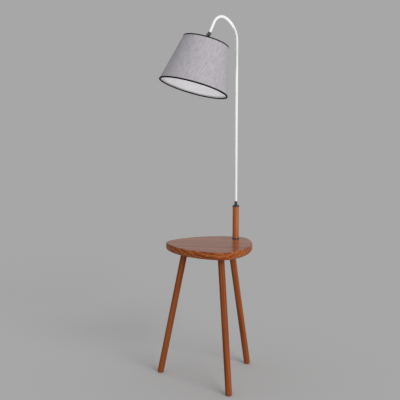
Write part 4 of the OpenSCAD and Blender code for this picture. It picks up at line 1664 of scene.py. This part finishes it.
    def declare(self, cover: bpy.types.Object, tapes: list[bpy.types.Object]) -> None:
        """Args:
            cover: The linen. Not used.
            tapes: The tapes on its rims. Not used.
        """

    def build(self) -> None:
        """Builds the shade."""
        cover = self.build_cover()
        self.build_lining()
        tapes = [
            self.build_tape("upper_edge_tape", "shade_top_tape", lower=False),
            self.build_tape("lower_edge_tape", "shade_bottom_tape", lower=True),
        ]
        self.build_wire("upper_ring_wire", "shade_top_ring", lower=False)
        self.build_wire("lower_ring_wire", "shade_bottom_ring", lower=True)
        self.build_carrier()
        self.declare(cover, tapes)


@dataclass(frozen=True)
class Bulb(Assembly):
    """The opal globe bulb with its screw base."""

    start: float = 51.5 * MM
    length: float = 108 * MM
    globe_r: float = 30 * MM
    glass_t: float = 1.2 * MM
    tip_r: float = 4.5 * MM
    tip_h: float = 2 * MM
    insulator_h: float = 2 * MM
    base_r: float = 13.1 * MM
    base_l: float = 22 * MM
    rim_h: float = 3 * MM
    thread_pitch: float = 3.62 * MM
    thread_depth: float = 1.0 * MM

    @property
    def base_start(self) -> float:
        """Where the base starts, above the tip."""
        return self.start + self.tip_h

    @property
    def base_end(self) -> float:
        """Where the base ends and the glass starts."""
        return self.base_start + self.insulator_h + self.base_l

    def profile(self, ball_r: float, neck_r: float, start: float) -> list[Corner]:
        """Gives half of the glass's outline, from the neck to the globe's far end.

        Args:
            ball_r: Radius of the globe.
            neck_r: Radius of the neck where it starts.
            start: Where the neck starts.

        Returns:
            Corners of a cone that meets a ball smoothly.
        """
        centre = self.start + self.length - self.globe_r
        lean = math.asin((ball_r - neck_r) / (centre - start))
        ball = arc((0, centre), ball_r, -lean, RIGHT_ANGLE, 40)
        return [(radius, at, 0) for radius, at in ((neck_r, start), *ball[:-1], (0, centre + ball_r))]

    def build_glass(self) -> None:
        """Builds the globe and its neck as one shell with a real wall."""
        neck_r = self.base_r - MM
        outer = self.profile(self.globe_r, neck_r, self.base_end)
        inner = self.profile(self.globe_r - self.glass_t, neck_r - self.glass_t, self.base_end)
        self.on_head(Piece.turned("bulb_glass", [*reversed(outer), *inner]), "opal_glass", "bulb_globe")

    def build_base(self) -> None:
        """Builds the screw base with its rounded thread, and the solder tip."""
        cone = self.base_start + self.insulator_h
        root_r = self.base_r - self.thread_depth
        rim = self.base_end - self.rim_h
        base = threaded("bulb_screw_base", root_r, self.base_r, self.thread_pitch, cone, rim)
        profile = [
            (0, self.base_start, 0), (self.tip_r + MM, self.base_start, 0.4 * MM), (root_r, cone, SOFT),
            (root_r, rim - MM, 0), (self.base_r, rim, 0.4 * MM), (self.base_r, self.base_end, SOFT),
            (0, self.base_end, 0),
        ]
        base.combine(Piece.turned("ends", profile, segments=64), "UNION")
        self.on_head(base, "bulb_metal", "bulb_base")
        profile = [
            (0, self.start, 0), (self.tip_r / 2, self.start, 0.6 * MM),
            (self.tip_r, self.base_start, SOFT), (0, self.base_start, 0),
        ]
        tip = Piece.turned("bulb_solder_tip", profile, segments=48)
        self.on_head(tip, "zinc_steel", "bulb_tip")

    def build(self) -> None:
        """Builds the bulb."""
        self.build_glass()
        self.build_base()


# ---- Solids that show as they are ----


@dataclass(frozen=True)
class PlainSolids:
    """The solids whose own shape is right, by the slot whose finish they take."""

    slots: tuple[tuple[str, tuple[str, ...]], ...] = (
        ("zinc_steel", ("leg_bolts", "tie_rod", "friction_washers", "holder_cap_nut")),
        ("brass", ("leg_inserts", "holder_shell", "holder_contact", "terminal_screws")),
        ("cable_sheath", ("cable_lower", "cable_upper", "holder_leads")),
        ("black_plastic", ("swivel_washer",)),
        ("white_ceramic", ("holder_core",)),
    )

    def dress(self) -> None:
        """Gives each solid its slot's finish."""
        for slot, nodes in self.slots:
            for node in nodes:
                for holder in frame["nodes"][node].material_slots:
                    holder.material = FINISHES[slot].material()
                log.info("%s keeps its own shape in %s", node, slot)


# ---- Studio ----


@dataclass(frozen=True)
class Studio:
    """The floor, the light and the camera."""

    backdrop: str = "#a7a7a7"
    sky: float = 0.50
    floor_size: float = 120.0
    eye: tuple[float, float, float] = (-2.632, -2.430, 1.3138)
    ahead: Point2 = (0.7219, 0.6920)
    pitch: float = math.radians(-8.34)
    lens: float = 75.47
    sensor_w: float = 36.0
    sight: float = 200.0
    key_energy: float = 2.05
    key_gleam: float = 0.35
    key_behind: float = 0.75
    key_right: float = 0.5
    key_up: float = 0.34
    key_angle: float = math.radians(40)
    bounce_energy: float = 58.0
    bounce_behind: float = 0.75
    bounce_left: float = 0.4
    bounce_height: float = 0.1
    bounce_r: float = 0.2
    bounce_beam: float = math.radians(30)

    def spot(self, behind: float, right: float, up: float) -> Vector:
        """Gives the point this far towards the camera, to its right and up."""
        ahead, across = Vector((*self.ahead, 0)), Vector((self.ahead[1], -self.ahead[0], 0))
        return across * right - ahead * behind + UP * up

    def hang(self, data: bpy.types.ID, place: Vector, way: Vector) -> bpy.types.Object:
        """Hangs a lamp or the camera at a place, unseen itself.

        Args:
            data: The lamp or the camera.
            place: Where it hangs.
            way: Where it shines or looks.

        Returns:
            Its object.
        """
        thing = bpy.data.objects.new(data.name, data)
        thing.location = place
        thing.rotation_euler = way.to_track_quat("-Z", "Y").to_euler()
        thing.visible_camera = False
        bpy.context.scene.collection.objects.link(thing)
        return thing

    def add_key(self) -> float:
        """Adds the key light from beside the camera, and a weaker twin that only gloss mirrors.

        Returns:
            What it adds to the light of a level white floor.
        """
        source = self.spot(self.key_behind, self.key_right, self.key_up).normalized()
        for name, energy in (("key", self.key_energy), ("gleam", self.key_gleam)):
            data = bpy.data.lights.new(name, "SUN")
            data.energy = energy
            data.angle = self.key_angle
            lamp = self.hang(data, source, -source)
            lamp.visible_glossy = name == "gleam"
            lamp.visible_diffuse = name == "key"
        return self.key_energy * source.z / math.pi

    def add_bounce(self) -> None:
        """Adds a soft lamp low in front of the legs, which lights the inside of the shade."""
        place = self.spot(self.bounce_behind, -self.bounce_left, self.bounce_height)
        data = bpy.data.lights.new("bounce", "SPOT")
        data.energy = self.bounce_energy
        data.shadow_soft_size = self.bounce_r
        data.spot_size = self.bounce_beam
        data.spot_blend = 1.0
        self.hang(data, place, middle("shade_bottom_ring") - place)

    def light_world(self) -> None:
        """Lights the scene evenly, and shows the backdrop's grey to the camera and in reflections."""
        world = bpy.data.worlds.new("studio")
        bpy.context.scene.world = world
        world.use_nodes = True
        tree = Tree(world.node_tree)
        seen = tree.add("LightPath").outputs
        share = seen["Is Camera Ray"]
        for ray in ("Is Glossy Ray", "Is Transmission Ray"):
            share = tree.math("MAXIMUM", share, seen[ray])
        light = tree.mix(share, (self.sky, self.sky, self.sky, 1), linear(self.backdrop))
        tree.add("OutputWorld", Surface=tree.add("Background", Color=light).outputs[0])

    def lay_floor(self, light: float) -> None:
        """Lays a floor whose lit colour is the backdrop's, and which is clear from below.

        Args:
            light: How bright a white floor would be.
        """
        deselect()
        bpy.ops.mesh.primitive_plane_add(size=self.floor_size)
        floor = bpy.context.object
        floor.name = "studio_floor"
        graph = Graph("studio_floor")
        share = linear(self.backdrop)[0] / light
        above = graph.math("SUBTRACT", 1.0, graph.add("NewGeometry").outputs["Backfacing"])
        graph.surface(Base_Color=(share, share, share, 1), Roughness=1.0, Specular_IOR_Level=0.0, Alpha=above)
        floor.data.materials.append(graph.material)

    def place_camera(self) -> None:
        """Places the camera at the photograph's angle."""
        data = bpy.data.cameras.new("view")
        data.lens = self.lens
        data.sensor_width = self.sensor_w
        data.clip_end = self.sight
        level = math.cos(self.pitch)
        look = Vector((self.ahead[0] * level, self.ahead[1] * level, math.sin(self.pitch)))
        bpy.context.scene.camera = self.hang(data, Vector(self.eye), look)

    def build(self) -> None:
        """Sets up the whole studio."""
        bpy.context.scene.view_settings.view_transform = "Standard"
        self.light_world()
        self.lay_floor(self.sky + self.add_key())
        self.add_bounce()
        self.place_camera()


def main() -> None:
    """Builds the lamp and its studio."""
    logging.basicConfig(level=logging.INFO, format="%(name)s: %(message)s")
    places = Places.read(Pole.first_turn + Pole.second_turn, Pole.pivot_reach)
    for part in (Table, Post, Pole, Knuckle, Holder, Shade, Bulb):
        part(places).build()
    PlainSolids().dress()
    Studio().build()


if __name__ == "__main__":
    main()
